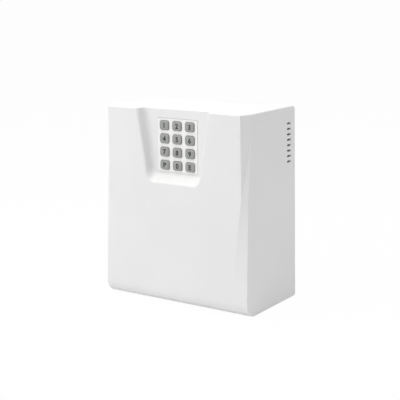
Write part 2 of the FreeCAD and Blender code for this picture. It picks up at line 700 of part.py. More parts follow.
def ribbon_cable():
    """Flat cable that sags from the keypad board towards the main board."""
    y0 = KEYPAD_REAR_Y + PLUG_DEEP
    y1 = BOARD_Y - HEADER_DEEP - GAP - PLUG_DEEP
    span = y1 - y0
    fall = [(0.0, 0.0), (0.16, 0.35), (0.32, 0.8), (0.5, 1.0), (0.68, 0.8), (0.84, 0.35), (1.0, 0.0)]
    upper = [V(RIBBON_X, y0 + span * t, RIBBON_Z - RIBBON_DROP * d) for t, d in fall]
    curve = Part.BSplineCurve()
    curve.interpolate(upper)
    lower_points = [p - V(0, 0, RIBBON_THICK) for p in upper]
    lower = Part.BSplineCurve()
    lower.interpolate(lower_points)
    ends = [Part.LineSegment(upper[0], lower_points[0]).toShape(),
            Part.LineSegment(upper[-1], lower_points[-1]).toShape()]
    wire = Part.Wire(Part.__sortEdges__([curve.toShape(), lower.toShape()] + ends))
    strip = Part.Face(wire).extrude(V(RIBBON_WIDTH, 0, 0))
    strip.translate(V(-RIBBON_WIDTH / 2, 0, 0))
    return strip


def ribbon_plug():
    """Connector at the ribbon's far end, facing the main board's header."""
    y1 = BOARD_Y - HEADER_DEEP - GAP
    return box(RIBBON_X - PLUG_WIDTH / 2, RIBBON_X + PLUG_WIDTH / 2, y1 - PLUG_DEEP, y1,
               RIBBON_Z - PLUG_TALL / 2, RIBBON_Z + PLUG_TALL / 2)


# ---- back plate -----------------------------------------------------------
def strap_feet():
    """Centres (x) of the battery strap's two feet."""
    reach = BATTERY_W / 2 + STRAP_GAP + STRAP_THICK + STRAP_FOOT / 2
    return (BATTERY_X - reach, BATTERY_X + reach)


def board_holes():
    """Places (x, z) of the main board's four fixing holes."""
    return [(x, z) for x in (BOARD_LEFT + BOARD_HOLE_IN, BOARD_RIGHT - BOARD_HOLE_IN)
            for z in (BOARD_LOW + BOARD_HOLE_IN + STRIP_TALL + 3.0, BOARD_HIGH - BOARD_HOLE_IN)]


def foot_screws():
    """Places (x, z) of the transformer's two fixing screws."""
    return [(TRANSFORMER_X, TRANSFORMER_Z - CORE_W / 2 - FRAME_THICK - FOOT / 2),
            (TRANSFORMER_X, TRANSFORMER_Z + CORE_W / 2 + FRAME_THICK + FOOT / 2)]


def tamper_screw_places():
    """Places (x, z) of the tamper switch's two fixing screws."""
    z = PLATE_BOTTOM + TAMPER_FLOOR + TAMPER_H / 2
    reach = TAMPER_W / 2 - TAMPER_HOLE_IN
    return [(TAMPER_X - reach, z), (TAMPER_X + reach, z)]


def hinge_ears():
    """Two ears and the pin between them, for the right-hand hinge."""
    inner = HINGE_KNUCKLE / 2 + HINGE_SIDE_GAP
    pieces = []
    for x0 in (HINGE_X - inner - HINGE_EAR, HINGE_X + inner):
        x1 = x0 + HINGE_EAR
        pieces.append(rod_x(HINGE_EAR_HALF, HINGE_Y, HINGE_Z, x0, x1))
        pieces.append(box(x0, x1, HINGE_Y - HINGE_EAR_HALF, HINGE_Y + HINGE_EAR_HALF,
                          HINGE_Z - HINGE_EAR_ROOT, HINGE_Z))
        pieces.append(box(x0, x1, HINGE_Y, -PLATE / 2, HINGE_Z - HINGE_EAR_ROOT, PLATE_TOP))
    reach = inner + HINGE_EAR
    pieces.append(rod_x(HINGE_PIN_R, HINGE_Y, HINGE_Z, HINGE_X - reach, HINGE_X + reach))
    return pieces


def back_plate():
    """Moulded back plate: bosses, shelf, hinge ears, screw tabs and wall fixings."""
    low = PLATE_BOTTOM
    high = PLATE_TOP
    inset = WALL + COVER_GAP
    sections = []
    for y in (-PLATE, 0.0):
        sections.append([V(-side_x(y, low) + inset, y, low), V(side_x(y, low) - inset, y, low),
                         V(side_x(y, high) - inset, y, high), V(-side_x(y, high) + inset, y, high)])
    pieces = [loft(sections)]
    for half in (hinge_ears(), screw_tab()):
        for piece in half:
            pieces += both_sides(piece)
    left = BATTERY_X - BATTERY_W / 2
    right = BATTERY_X + BATTERY_W / 2
    pieces.append(box(left, right, BATTERY_Y, -PLATE, SHELF_BOTTOM, BATTERY_LOW))
    for x in (left + SHELF_RIB_IN, right - SHELF_RIB_IN):
        pieces.append(profile_x([(-PLATE, SHELF_BOTTOM), (-PLATE, PLATE_BOTTOM + 2),
                                 (-PLATE - SHELF_RIB_REACH, SHELF_BOTTOM)],
                                x - SHELF_RIB / 2, x + SHELF_RIB / 2))
    for x in strap_feet():
        pieces.append(box(x - STRAP_FOOT / 2, x + STRAP_FOOT / 2, -PLATE - STRAP_BOSS, -PLATE,
                          STRAP_Z - STRAP_WIDE / 2, STRAP_Z + STRAP_WIDE / 2))
    for x, z in board_holes():
        pieces.append(rod_y(STANDOFF_R, x, z, -PLATE - STANDOFF, -PLATE))
    for x, z in foot_screws():
        pieces.append(box(x - STACK / 2, x + STACK / 2, -PLATE - PAD, -PLATE, z - FOOT / 2, z + FOOT / 2))
    cuts = [rod_y(ENTRY_R, ENTRY_X, ENTRY_Z, -PLATE - 1, 1)]
    beside = POCKET_HALF + WALL + COVER_GAP
    for x in (-SCREW_X, SCREW_X):
        cuts.append(box(x - beside, x + beside, -PLATE - 1, 1, 0, TAB_LOW))
    for x in (-WALL_HOLE_X / 2, WALL_HOLE_X / 2):
        for z in (WALL_HOLE_LOW, WALL_HOLE_HIGH):
            cuts.append(rod_y(WALL_HOLE_R, x, z, -PLATE - 1, 1))
    for x, z in board_holes():
        cuts.append(rod_y(SMALL_SCREW_R, x, z, -PLATE - STANDOFF - 1, -PLATE / 2))
    for x in strap_feet():
        cuts.append(rod_y(SCREW_R, x, STRAP_Z, -PLATE - STRAP_BOSS - 1, -PLATE / 2))
    for x, z in foot_screws():
        cuts.append(rod_y(SCREW_R, x, z, -PLATE - PAD - 1, -PLATE / 2))
    for x, z in tamper_screw_places():
        cuts.append(rod_y(SMALL_SCREW_R, x, z, -PLATE - 1, -PLATE / 2))
    for dz in (-BLOCK_H / 4, BLOCK_H / 4):
        cuts.append(rod_y(SMALL_SCREW_R, BLOCK_X, BLOCK_Z + dz, -PLATE - 1, -PLATE / 2))
    for x in (-SCREW_X, SCREW_X):
        cuts.append(rod_z(SCREW_R, x, -SCREW_FROM_WALL, TAB_LOW - 1, TAB_LOW + TAB_THICK + 1))
    return join(pieces).cut(cuts)


def screw_tab():
    """Tab that the right-hand cover screw threads into, with its web."""
    x0 = SCREW_X - POCKET_HALF
    x1 = SCREW_X + POCKET_HALF
    tab = box(x0, x1, -POCKET_DEEP, -PLATE / 2, TAB_LOW, TAB_LOW + TAB_THICK)
    return [tab]


def cover_screws():
    """Two screws that stay in the back plate's tabs and clamp the cover's slots."""
    screws = []
    top = POCKET_CEILING - GAP
    for x in (-SCREW_X, SCREW_X):
        head = rod_z(SCREW_HEAD_R, x, -SCREW_FROM_WALL, top - SCREW_HEAD_TALL, top)
        slot = box(x - SCREW_HEAD_R, x + SCREW_HEAD_R, -SCREW_FROM_WALL - SCREW_SLOT / 2,
                   -SCREW_FROM_WALL + SCREW_SLOT / 2, top - SCREW_HEAD_TALL - 1, top - SCREW_HEAD_TALL / 2)
        shank = rod_z(SCREW_R, x, -SCREW_FROM_WALL, top, TAB_LOW + TAB_THICK + SCREW_PAST)
        screws.append(join([head.cut(slot), shank]))
    return Part.makeCompound(screws)


def cable_grommet():
    """Rubber ring that lines the cable entry in the back plate."""
    sleeve = rod_y(ENTRY_R, ENTRY_X, ENTRY_Z, -PLATE, 0)
    flange = rod_y(ENTRY_R + GROMMET_LIP, ENTRY_X, ENTRY_Z, -PLATE - GROMMET_LIP_THICK, -PLATE)
    bore = rod_y(GROMMET_R, ENTRY_X, ENTRY_Z, -PLATE - 3, 1)
    return join([sleeve, flange]).cut(bore)


# ---- battery --------------------------------------------------------------
def battery():
    """Sealed lead-acid block with a lid step and terminal wells."""
    x0 = BATTERY_X - BATTERY_W / 2
    x1 = BATTERY_X + BATTERY_W / 2
    block = box(x0, x1, BATTERY_Y, -PLATE, BATTERY_LOW, BATTERY_HIGH)
    upright = [e for e in block.Edges if e.BoundBox.ZLength > BATTERY_H / 2]
    block = block.makeFillet(BATTERY_ROUND, upright)
    seam = BATTERY_HIGH - LID_TALL
    line = box(x0 - 1, x1 + 1, BATTERY_Y - 1, -PLATE + 1, seam - SEAM, seam)
    core = box(x0 + SEAM_DEEP, x1 - SEAM_DEEP, BATTERY_Y + SEAM_DEEP, -PLATE - SEAM_DEEP,
               seam - SEAM - 1, seam + 1)
    return block.cut(line.cut(core))


def battery_terminal_places():
    """Places (x, y) of the two push-on tabs on the battery's lid."""
    return [(BATTERY_X - BATTERY_W / 2 + TERMINAL_IN, BATTERY_Y + TERMINAL_BACK),
            (BATTERY_X + BATTERY_W / 2 - TERMINAL_IN, BATTERY_Y + TERMINAL_BACK)]


def battery_terminals():
    """Two flat push-on tabs standing on the battery's lid."""
    tabs = []
    for x, y in battery_terminal_places():
        foot = box(x - TAB_FOOT / 2, x + TAB_FOOT / 2, y - TAB_DEEP / 2, y + TAB_DEEP / 2,
                   BATTERY_HIGH, BATTERY_HIGH + TAB_METAL)
        blade = box(x - TAB_METAL / 2, x + TAB_METAL / 2, y - TAB_BLADE / 2, y + TAB_BLADE / 2,
                    BATTERY_HIGH + TAB_METAL, BATTERY_HIGH + TERMINAL_UP)
        tabs.append(join([foot, blade]))
    return Part.makeCompound(tabs)


def battery_strap():
    """Steel strap round the battery's front, with a foot at each side."""
    z0 = STRAP_Z - STRAP_WIDE / 2
    z1 = STRAP_Z + STRAP_WIDE / 2
    x0 = BATTERY_X - BATTERY_W / 2 - STRAP_GAP
    x1 = BATTERY_X + BATTERY_W / 2 + STRAP_GAP
    front = BATTERY_Y - STRAP_GAP
    rear = -PLATE - STRAP_BOSS
    left, right = strap_feet()
    pieces = [box(x0 - STRAP_THICK, x1 + STRAP_THICK, front - STRAP_THICK, front, z0, z1),
              box(x0 - STRAP_THICK, x0, front - STRAP_THICK, rear, z0, z1),
              box(x1, x1 + STRAP_THICK, front - STRAP_THICK, rear, z0, z1),
              box(left - STRAP_FOOT / 2, x0, rear - STRAP_THICK, rear, z0, z1),
              box(x1, right + STRAP_FOOT / 2, rear - STRAP_THICK, rear, z0, z1)]
    holes = [rod_y(SCREW_R + FIT, x, STRAP_Z, rear - STRAP_THICK - 1, rear + 1) for x in (left, right)]
    return join(pieces).cut(holes)


def strap_screws():
    """Two screws through the battery strap's feet."""
    seat = -PLATE - STRAP_BOSS - STRAP_THICK
    length = STRAP_THICK + STRAP_BOSS + PLATE / 2
    return Part.makeCompound([screw_y(x, STRAP_Z, seat, SCREW_R, length, SCREW_HEAD_R, SCREW_HEAD_TALL)
                              for x in strap_feet()])


# ---- transformer ----------------------------------------------------------
def transformer_ends():
    """Front face, rear face and pad plane of the transformer."""
    rear = -PLATE - PAD
    return rear - CORE_D, rear


def transformer_core():
    """Laminated E-I core with its two windows."""
    front, rear = transformer_ends()
    x0 = TRANSFORMER_X - STACK / 2
    x1 = TRANSFORMER_X + STACK / 2
    z0 = TRANSFORMER_Z - CORE_W / 2
    z1 = TRANSFORMER_Z + CORE_W / 2
    block = box(x0, x1, front, rear, z0, z1)
    window = (CORE_W - 4 * LEG_WIDE) / 2
    cuts = []
    for low in (z0 + LEG_WIDE, z1 - LEG_WIDE - window):
        cuts.append(box(x0 - 1, x1 + 1, front + LEG_WIDE, rear - LEG_WIDE, low, low + window))
    return block.cut(cuts)


def transformer_winding():
    """Wound bobbin on the core's middle leg, filling both windows."""
    front, rear = transformer_ends()
    window = (CORE_W - 4 * LEG_WIDE) / 2
    half_z = LEG_WIDE + window
    x0 = TRANSFORMER_X - STACK / 2 - WINDING_OUT
    x1 = TRANSFORMER_X + STACK / 2 + WINDING_OUT
    coil = box(x0, x1, front + LEG_WIDE, rear - LEG_WIDE, TRANSFORMER_Z - half_z, TRANSFORMER_Z + half_z)
    along = [e for e in coil.Edges if e.BoundBox.YLength > CORE_D / 3]
    coil = coil.makeFillet(WINDING_ROUND, along)
    leg = box(TRANSFORMER_X - STACK / 2, TRANSFORMER_X + STACK / 2, front, rear,
              TRANSFORMER_Z - LEG_WIDE, TRANSFORMER_Z + LEG_WIDE)
    return coil.cut(leg).cut(transformer_core())


def transformer_frame():
    """Steel strap over the core, with two feet on the back plate's pads."""
    front, rear = transformer_ends()
    x0 = TRANSFORMER_X - STACK / 2 + FRAME_IN
    x1 = TRANSFORMER_X + STACK / 2 - FRAME_IN
    z0 = TRANSFORMER_Z - CORE_W / 2
    z1 = TRANSFORMER_Z + CORE_W / 2
    t = FRAME_THICK
    pieces = [box(x0, x1, front - t, front, z0 - t, z1 + t)]
    pieces.append(box(x0, x1, front - t, rear, z0 - t, z0))
    pieces.append(box(x0, x1, front - t, rear, z1, z1 + t))
    pieces.append(box(x0, x1, rear - t, rear, z0 - t - FOOT, z0))
    pieces.append(box(x0, x1, rear - t, rear, z1, z1 + t + FOOT))
    holes = [rod_y(SCREW_R + FIT, x, z, rear - t - 1, rear + 1) for x, z in foot_screws()]
    return join(pieces).cut(holes)


def transformer_screws():
    """Two screws through the transformer's feet."""
    rear = transformer_ends()[1]
    return Part.makeCompound([screw_y(x, z, rear - FRAME_THICK, SCREW_R, FRAME_THICK + PAD + PLATE / 2,
                                      SCREW_HEAD_R, SCREW_HEAD_TALL) for x, z in foot_screws()])


# ---- mains block and tamper switch ----------------------------------------
def mains_block():
    """Three-way mains terminal block with its clamp screws' wells."""
    x0 = BLOCK_X - BLOCK_W / 2
    z0 = BLOCK_Z - BLOCK_H / 2
    front = -PLATE - BLOCK_D
    block = box(x0, x0 + BLOCK_W, front, -PLATE, z0, z0 + BLOCK_H)
    cuts = []
    way = BLOCK_W / BLOCK_WAYS
    mouth_y = front + BLOCK_MOUTH_BACK
    for i in range(BLOCK_WAYS):
        x = x0 + way * (i + 0.5)
        cuts.append(rod_z(BLOCK_MOUTH_R, x, mouth_y, z0 - 1, z0 + BLOCK_MOUTH))
        cuts.append(rod_z(BLOCK_MOUTH_R, x, mouth_y, z0 + BLOCK_H - BLOCK_MOUTH, z0 + BLOCK_H + 1))
    for x in (x0 + way / 2, x0 + BLOCK_W - way / 2):
        for dz in (-BLOCK_H / 4, BLOCK_H / 4):
            cuts.append(rod_y(BLOCK_WELL_R, x, BLOCK_Z + dz, front - 1, front + BLOCK_WELL))
    for i in range(1, BLOCK_WAYS):
        x = x0 + way * i
        cuts.append(box(x - BLOCK_GROOVE / 2, x + BLOCK_GROOVE / 2, front - 1, front + BLOCK_GROOVE_DEEP,
                        z0 - 1, z0 + BLOCK_H + 1))
    for dz in (-BLOCK_H / 4, BLOCK_H / 4):
        cuts.append(rod_y(SMALL_HEAD_R + GAP, BLOCK_X, BLOCK_Z + dz, front - 1, front + BLOCK_SEAT))
        cuts.append(rod_y(SMALL_SCREW_R + FIT, BLOCK_X, BLOCK_Z + dz, front, -PLATE + 1))
    return block.cut(cuts)


def mains_block_screws():
    """Two screws that fix the mains block to the back plate."""
    seat = -PLATE - BLOCK_D + BLOCK_SEAT
    return Part.makeCompound([screw_y(BLOCK_X, BLOCK_Z + dz, seat, SMALL_SCREW_R, PLATE / 2 - PLATE - seat,
                                      SMALL_HEAD_R, SMALL_HEAD_TALL) for dz in (-BLOCK_H / 4, BLOCK_H / 4)])


def tamper_switch():
    """Small snap switch on the back plate, above the cover's bottom wall."""
    z0 = PLATE_BOTTOM + TAMPER_FLOOR
    y1 = -PLATE
    body = box(TAMPER_X - TAMPER_W / 2, TAMPER_X + TAMPER_W / 2, y1 - TAMPER_D, y1, z0, z0 + TAMPER_H)
    cuts = [rod_z(PLUNGER_R + FIT, TAMPER_X, y1 - TAMPER_D / 2, z0 - 1, z0 + PLUNGER_DEEP)]
    for x, z in tamper_screw_places():
        cuts.append(rod_y(SMALL_SCREW_R + FIT, x, z, y1 - TAMPER_D - 1, y1 + 1))
    return body.cut(cuts)


def tamper_plunger():
    """Button that the closed cover holds up into the tamper switch."""
    y = -PLATE - TAMPER_D / 2
    z0 = PLATE_BOTTOM + TAMPER_FLOOR
    low = WALL + GAP
    pin = rod_z(PLUNGER_R, TAMPER_X, y, low, z0 + PLUNGER_DEEP - PLUNGER_TRAVEL - GAP)
    tip = [e for e in pin.Edges if e.BoundBox.ZMax < low + FIT]
    return pin.makeFillet(PLUNGER_ROUND, tip)


def tamper_screws():
    """Two small screws through the tamper switch."""
    seat = -PLATE - TAMPER_D
    return Part.makeCompound([screw_y(x, z, seat, SMALL_SCREW_R, TAMPER_D + PLATE / 2,
                                      TAMPER_HEAD_R, TAMPER_HEAD_TALL) for x, z in tamper_screw_places()])


# ---- main board -----------------------------------------------------------
def main_board():
    """Control circuit board on four stand-offs."""
    board = box(BOARD_LEFT, BOARD_RIGHT, BOARD_Y, BOARD_Y + BOARD_THICK, BOARD_LOW, BOARD_HIGH)
    return board.cut([rod_y(SMALL_SCREW_R + FIT, x, z, BOARD_Y - 1, BOARD_Y + BOARD_THICK + 1)
                      for x, z in board_holes()])


def board_screws():
    """Four screws that fix the main board to its stand-offs."""
    length = BOARD_THICK + STANDOFF + PLATE / 2
    return Part.makeCompound([screw_y(x, z, BOARD_Y, SMALL_SCREW_R, length, SMALL_HEAD_R, SMALL_HEAD_TALL)
                              for x, z in board_holes()])


def strip_starts():
    """Left ends of the two terminal strips along the board's lower edge."""
    long = STRIP_POLES * STRIP_PITCH
    left = BOARD_LEFT + STRIP_IN
    return (left, left + long + STRIP_APART)


def terminal_strips():
    """Two rows of screw terminals with wire mouths along the lower edge."""
    strips = []
    z0 = BOARD_LOW + STRIP_UP
    for start in strip_starts():
        strip = box(start, start + STRIP_POLES * STRIP_PITCH, BOARD_Y - STRIP_DEEP, BOARD_Y,
                    z0, z0 + STRIP_TALL)
        cuts = []
        for i in range(STRIP_POLES):
            x = start + (i + 0.5) * STRIP_PITCH
            cuts.append(rod_y(POLE_R, x, z0 + POLE_UP, BOARD_Y - STRIP_DEEP - 1,
                              BOARD_Y - STRIP_DEEP + POLE_DEEP))
            cuts.append(box(x - MOUTH_WIDE / 2, x + MOUTH_WIDE / 2, BOARD_Y - MOUTH_FAR,
                            BOARD_Y - MOUTH_NEAR, z0 - 1, z0 + MOUTH_TALL))
        strips.append(strip.cut(cuts))
    return Part.makeCompound(strips)


def terminal_screws():
    """Clamp screws in the terminal strips."""
    screws = []
    for start in strip_starts():
        for i in range(STRIP_POLES):
            x = start + (i + 0.5) * STRIP_PITCH
            seat = BOARD_Y - STRIP_DEEP + POLE_DEEP
            z = BOARD_LOW + STRIP_UP + POLE_UP
            head = rod_y(CLAMP_R, x, z, seat - POLE_DEEP * 0.75, seat)
            slot = box(x - CLAMP_R - 1, x + CLAMP_R + 1, seat - POLE_DEEP, seat - POLE_DEEP * 0.6,
                       z - CLAMP_SLOT / 2, z + CLAMP_SLOT / 2)
            screws.append(head.cut(slot))
    return Part.makeCompound(screws)


def on_board(x, z, width, tall, deep, radius=0.0):
    """Rectangular component standing on the main board's front."""
    if radius:
        return round_box_y(width / 2, tall / 2, radius, x, z, BOARD_Y - deep, BOARD_Y)
    return box(x - width / 2, x + width / 2, BOARD_Y - deep, BOARD_Y, z - tall / 2, z + tall / 2)


def capacitors():
    """Three electrolytic cans."""
    cans = []
    for x, z, r, tall in ((CAN_X, CAN_Z, CAN_R, CAN_TALL),
                          (CAN_X, CAN_Z + CAN_STEP, SECOND_CAN_R, SECOND_CAN_TALL),
                          (THIRD_CAN_X, THIRD_CAN_Z, THIRD_CAN_R, THIRD_CAN_TALL)):
        can = rod_y(r, x, z, BOARD_Y - tall, BOARD_Y)
        rim = [e for e in can.Edges if e.BoundBox.YMax < BOARD_Y - tall / 2]
        cans.append(can.makeFillet(CAN_ROUND, rim))
    return Part.makeCompound(cans)


def heat_sink():
    """Finned aluminium sink behind the regulator."""
    left = SINK_X - SINK_W / 2
    pieces = [box(left, left + SINK_W, BOARD_Y - SINK_DEEP, BOARD_Y, SINK_Z, SINK_Z + SINK_BASE)]
    for i in range(FINS):
        fin = left + i * (SINK_W - SINK_FIN) / (FINS - 1)
        pieces.append(box(fin, fin + SINK_FIN, BOARD_Y - SINK_DEEP, BOARD_Y, SINK_Z, SINK_Z + SINK_TALL))
    return join(pieces)


def regulator():
    """Three-leg regulator lying flat against the heat sink."""
    x, z = SINK_X, SINK_Z
    half = REGULATOR_W / 2
    body = box(x - half, x + half, BOARD_Y - REGULATOR_HIGH, BOARD_Y - REGULATOR_LOW, z - REGULATOR_TALL, z)
    tab = box(x - half, x + half, BOARD_Y - REGULATOR_END, BOARD_Y - REGULATOR_HIGH, z - REGULATOR_TAB, z)
    pieces = [body, tab]
    leg_z = z - REGULATOR_TALL / 2
    for dx in (-LEG_PITCH, 0.0, LEG_PITCH):
        pieces.append(box(x + dx - LEG_METAL / 2, x + dx + LEG_METAL / 2, BOARD_Y - REGULATOR_LOW, BOARD_Y,
                          leg_z - LEG_METAL / 2, leg_z + LEG_METAL / 2))
    hole = rod_z(SCREW_R, x, BOARD_Y - (REGULATOR_HIGH + REGULATOR_END) / 2, z - REGULATOR_TAB - 1, z + 1)
    return join(pieces).cut(hole)


def fuse_holder():
    """Two spring clips that carry the glass fuse."""
    clips = []
    reach = FUSE_LONG * 0.4
    axis_y = BOARD_Y - FUSE_LIFT
    for x in (FUSE_X - reach, FUSE_X + reach):
        x0 = x - CLIP_LONG / 2
        x1 = x + CLIP_LONG / 2
        clip = box(x0, x1, BOARD_Y - CLIP_TALL, BOARD_Y, FUSE_Z - CLIP_WIDE / 2, FUSE_Z + CLIP_WIDE / 2)
        clip = clip.cut(rod_x(FUSE_R + FIT / 2, axis_y, FUSE_Z, x0 - 1, x1 + 1))
        clips.append(clip.cut(box(x0 - 1, x1 + 1, BOARD_Y - CLIP_TALL - 1, axis_y,
                                  FUSE_Z - CLIP_MOUTH / 2, FUSE_Z + CLIP_MOUTH / 2)))
    return Part.makeCompound(clips)


def fuse():
    """Glass cartridge fuse, 5 by 20 mm."""
    return rod_x(FUSE_R, BOARD_Y - FUSE_LIFT, FUSE_Z, FUSE_X - FUSE_LONG / 2, FUSE_X + FUSE_LONG / 2)


def board_header():
    """Shrouded header that takes the keypad's ribbon plug."""
    half_x = PLUG_WIDTH / 2 + GAP
    half_z = PLUG_TALL / 2 + GAP
    block = on_board(RIBBON_X, RIBBON_Z, 2 * (half_x + HEADER_WALL), 2 * (half_z + HEADER_WALL),
                     HEADER_DEEP)
    well = box(RIBBON_X - half_x, RIBBON_X + half_x, BOARD_Y - HEADER_DEEP - 1, BOARD_Y - HEADER_FLOOR,
               RIBBON_Z - half_z, RIBBON_Z + half_z)
    pins = []
    for i in range(HEADER_PINS):
        for dz in (-LEG_PITCH / 2, LEG_PITCH / 2):
            x = RIBBON_X + (i - (HEADER_PINS - 1) / 2) * LEG_PITCH
            pins.append(box(x - PIN_HALF, x + PIN_HALF, BOARD_Y - HEADER_DEEP + HEADER_FLOOR,
                            BOARD_Y - HEADER_FLOOR / 2, RIBBON_Z + dz - PIN_HALF, RIBBON_Z + dz + PIN_HALF))
    return join([block.cut(well)] + pins)


# ---- leads ----------------------------------------------------------------
def pole_mouth(strip, pole):
    """Where a wire ends inside a terminal's mouth."""
    x = strip_starts()[strip] + (pole + 0.5) * STRIP_PITCH
    return V(x, BOARD_Y - (MOUTH_NEAR + MOUTH_FAR) / 2, BOARD_LOW + STRIP_UP + MOUTH_TALL / 2 - 0.5)


def lead_point(tab, end, across, back, up):
    """A point of a lead's route: its shares of the way across and back to its mouth, and its rise."""
    return V(tab.x + across * (end.x - tab.x), tab.y + back * (end.y - tab.y), tab.z + up)


def battery_lead_black():
    """Black lead from the left battery tab to the board."""
    x, y = battery_terminal_places()[0]
    tab = V(x, y, BATTERY_HIGH + TERMINAL_UP)
    end = pole_mouth(0, 1)
    return lead([tab, tab + V(0, 0, 6),
                 lead_point(tab, end, 0.42, 0.34, 8.5),
                 lead_point(tab, end, 0.67, 0.68, 2.5),
                 end + V(0, -2, -9), end + V(0, 0, -3), end], LEAD_R)


def battery_lead_red():
    """Red lead from the right battery tab, across the lid, to the board."""
    x, y = battery_terminal_places()[1]
    tab = V(x, y, BATTERY_HIGH + TERMINAL_UP)
    end = pole_mouth(0, 2)
    return lead([tab, tab + V(0, 0, 6),
                 lead_point(tab, end, 0.094, 0.18, 7.5),
                 lead_point(tab, end, 0.28, 0.39, 3.5),
                 lead_point(tab, end, 0.514, 0.55, 5.5),
                 lead_point(tab, end, 0.764, 0.63, 2.0),
                 lead_point(tab, end, 0.928, 0.71, 3.0),
                 end + V(0, -3, -8.5), end + V(0, 0, -3), end], LEAD_R)


def transformer_leads():
    """Two low-voltage leads from the winding down to the board's right-hand terminals."""
    leads = []
    x0 = TRANSFORMER_X - STACK / 2 - WINDING_OUT
    for side in (0, 1):
        end = pole_mouth(1, STRIP_POLES - 1 - side)
        start = V(x0, -PLATE - 27.0 - 3.5 * side, TRANSFORMER_Z - 13.0)
        leads.append(lead([start, start + V(-5, 0, 0), start + V(-9.5, -2, -13), start + V(-11.5, 1, -28),
                           end + V(0.5, -6 - 3 * side, -10), end + V(0, 0, -3), end], LEAD_R))
    return Part.makeCompound(leads)


def mains_leads():
    """Two mains leads from the terminal block up to the winding."""
    leads = []
    way = BLOCK_W / 3
    wind_low = TRANSFORMER_Z - LEG_WIDE - (CORE_W - 4 * LEG_WIDE) / 2
    into = TRANSFORMER_X + STACK / 2 + WINDING_OUT / 2
    for side, x in ((-1, BLOCK_X - way), (1, BLOCK_X + way)):
        start = V(x, -PLATE - BLOCK_D + 9.0, BLOCK_Z + BLOCK_H / 2 - 3.0)
        end = V(into + 1.6 * side, -PLATE - 24.0, wind_low)
        halfway = start + (end - start) * 0.5
        leads.append(lead([start, start + V(0.2, -0.4, 9), halfway + V(0.4 * side, -2, -3),
                           end + V(0, 0, -9), end], LEAD_R))
    return Part.makeCompound(leads)


def build():
    """Make every piece and write it."""
    save("front_cover", front_cover())
    save("keypad_fascia", keypad_fascia())
    save("key_mat", key_mat())
    for name, x, z in key_places():
        save(name, key(x, z))
    save("keypad_board", keypad_board())
    save("keypad_screws", keypad_screws())
    save("keypad_beeper", keypad_beeper())
    save("ribbon_socket", ribbon_socket())
    save("ribbon_cable", ribbon_cable())
    save("ribbon_plug", ribbon_plug())
    save("back_plate", back_plate())
    save("cover_screws", cover_screws())
    save("cable_grommet", cable_grommet())
    save("battery", battery())
    save("battery_terminals", battery_terminals())
    save("battery_strap", battery_strap())
    save("strap_screws", strap_screws())
    save("transformer_core", transformer_core())
    save("transformer_winding", transformer_winding())
    save("transformer_frame", transformer_frame())
    save("transformer_screws", transformer_screws())
    save("mains_block", mains_block())
    save("mains_block_screws", mains_block_screws())
    save("tamper_switch", tamper_switch())
    save("tamper_plunger", tamper_plunger())
    save("tamper_screws", tamper_screws())
    save("main_board", main_board())
    save("board_screws", board_screws())
    save("terminal_strips", terminal_strips())
    save("terminal_screws", terminal_screws())
    save("relay", on_board(RELAY_X, RELAY_Z, RELAY_W, RELAY_H, RELAY_D, RELAY_ROUND))
    save("microcontroller", on_board(CHIP_X, CHIP_Z, CHIP_SIDE, CHIP_SIDE, CHIP_TALL, CHIP_ROUND))
    save("capacitors", capacitors())
    save("heat_sink", heat_sink())
    save("regulator", regulator())
    save("fuse_holder", fuse_holder())
    save("fuse", fuse())
    save("board_header", board_header())
    save("battery_lead_black", battery_lead_black())
    save("battery_lead_red", battery_lead_red())
    save("transformer_leads", transformer_leads())
    save("mains_leads", mains_leads())


os.makedirs("parts", exist_ok=True)
build()
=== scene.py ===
"""Looks of the alarm keypad panel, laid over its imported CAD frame."""

import math

import bmesh
import bpy
import numpy as np
from bpy.props import FloatProperty, FloatVectorProperty, PointerProperty
from mathutils import Matrix, Vector


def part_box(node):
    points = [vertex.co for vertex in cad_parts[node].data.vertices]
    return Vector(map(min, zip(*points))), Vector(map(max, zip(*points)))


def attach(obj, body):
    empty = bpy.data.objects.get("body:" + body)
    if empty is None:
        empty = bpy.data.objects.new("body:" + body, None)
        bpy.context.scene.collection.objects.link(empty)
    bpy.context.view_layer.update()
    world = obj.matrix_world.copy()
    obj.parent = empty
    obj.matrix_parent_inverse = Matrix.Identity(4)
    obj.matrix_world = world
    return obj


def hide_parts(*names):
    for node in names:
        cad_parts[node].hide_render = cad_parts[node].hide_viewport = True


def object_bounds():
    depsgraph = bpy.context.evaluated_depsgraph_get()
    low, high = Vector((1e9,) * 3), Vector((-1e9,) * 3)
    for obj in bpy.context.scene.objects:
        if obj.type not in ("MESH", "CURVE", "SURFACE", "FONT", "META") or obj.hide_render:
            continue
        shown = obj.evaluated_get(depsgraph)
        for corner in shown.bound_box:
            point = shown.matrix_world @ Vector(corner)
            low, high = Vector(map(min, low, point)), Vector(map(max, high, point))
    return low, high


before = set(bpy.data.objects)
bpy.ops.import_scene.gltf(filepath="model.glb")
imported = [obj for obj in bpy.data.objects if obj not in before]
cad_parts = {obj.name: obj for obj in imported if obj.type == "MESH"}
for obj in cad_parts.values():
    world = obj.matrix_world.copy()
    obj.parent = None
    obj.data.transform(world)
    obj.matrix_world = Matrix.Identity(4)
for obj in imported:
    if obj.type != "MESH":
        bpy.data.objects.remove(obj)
CAD_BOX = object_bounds()

bl_info = {
    "name": "Alarm Keypad Panel",
    "version": (1, 0, 0),
    "blender": (4, 5, 0),
    "location": "View3D > Sidebar > Panel",
    "description": "Keys, legends, circuit details and finishes of a wall-mounted alarm panel",
    "category": "Object",
}

MM = 0.001
WELD = 0.0002 * MM     # points nearer than this are one point

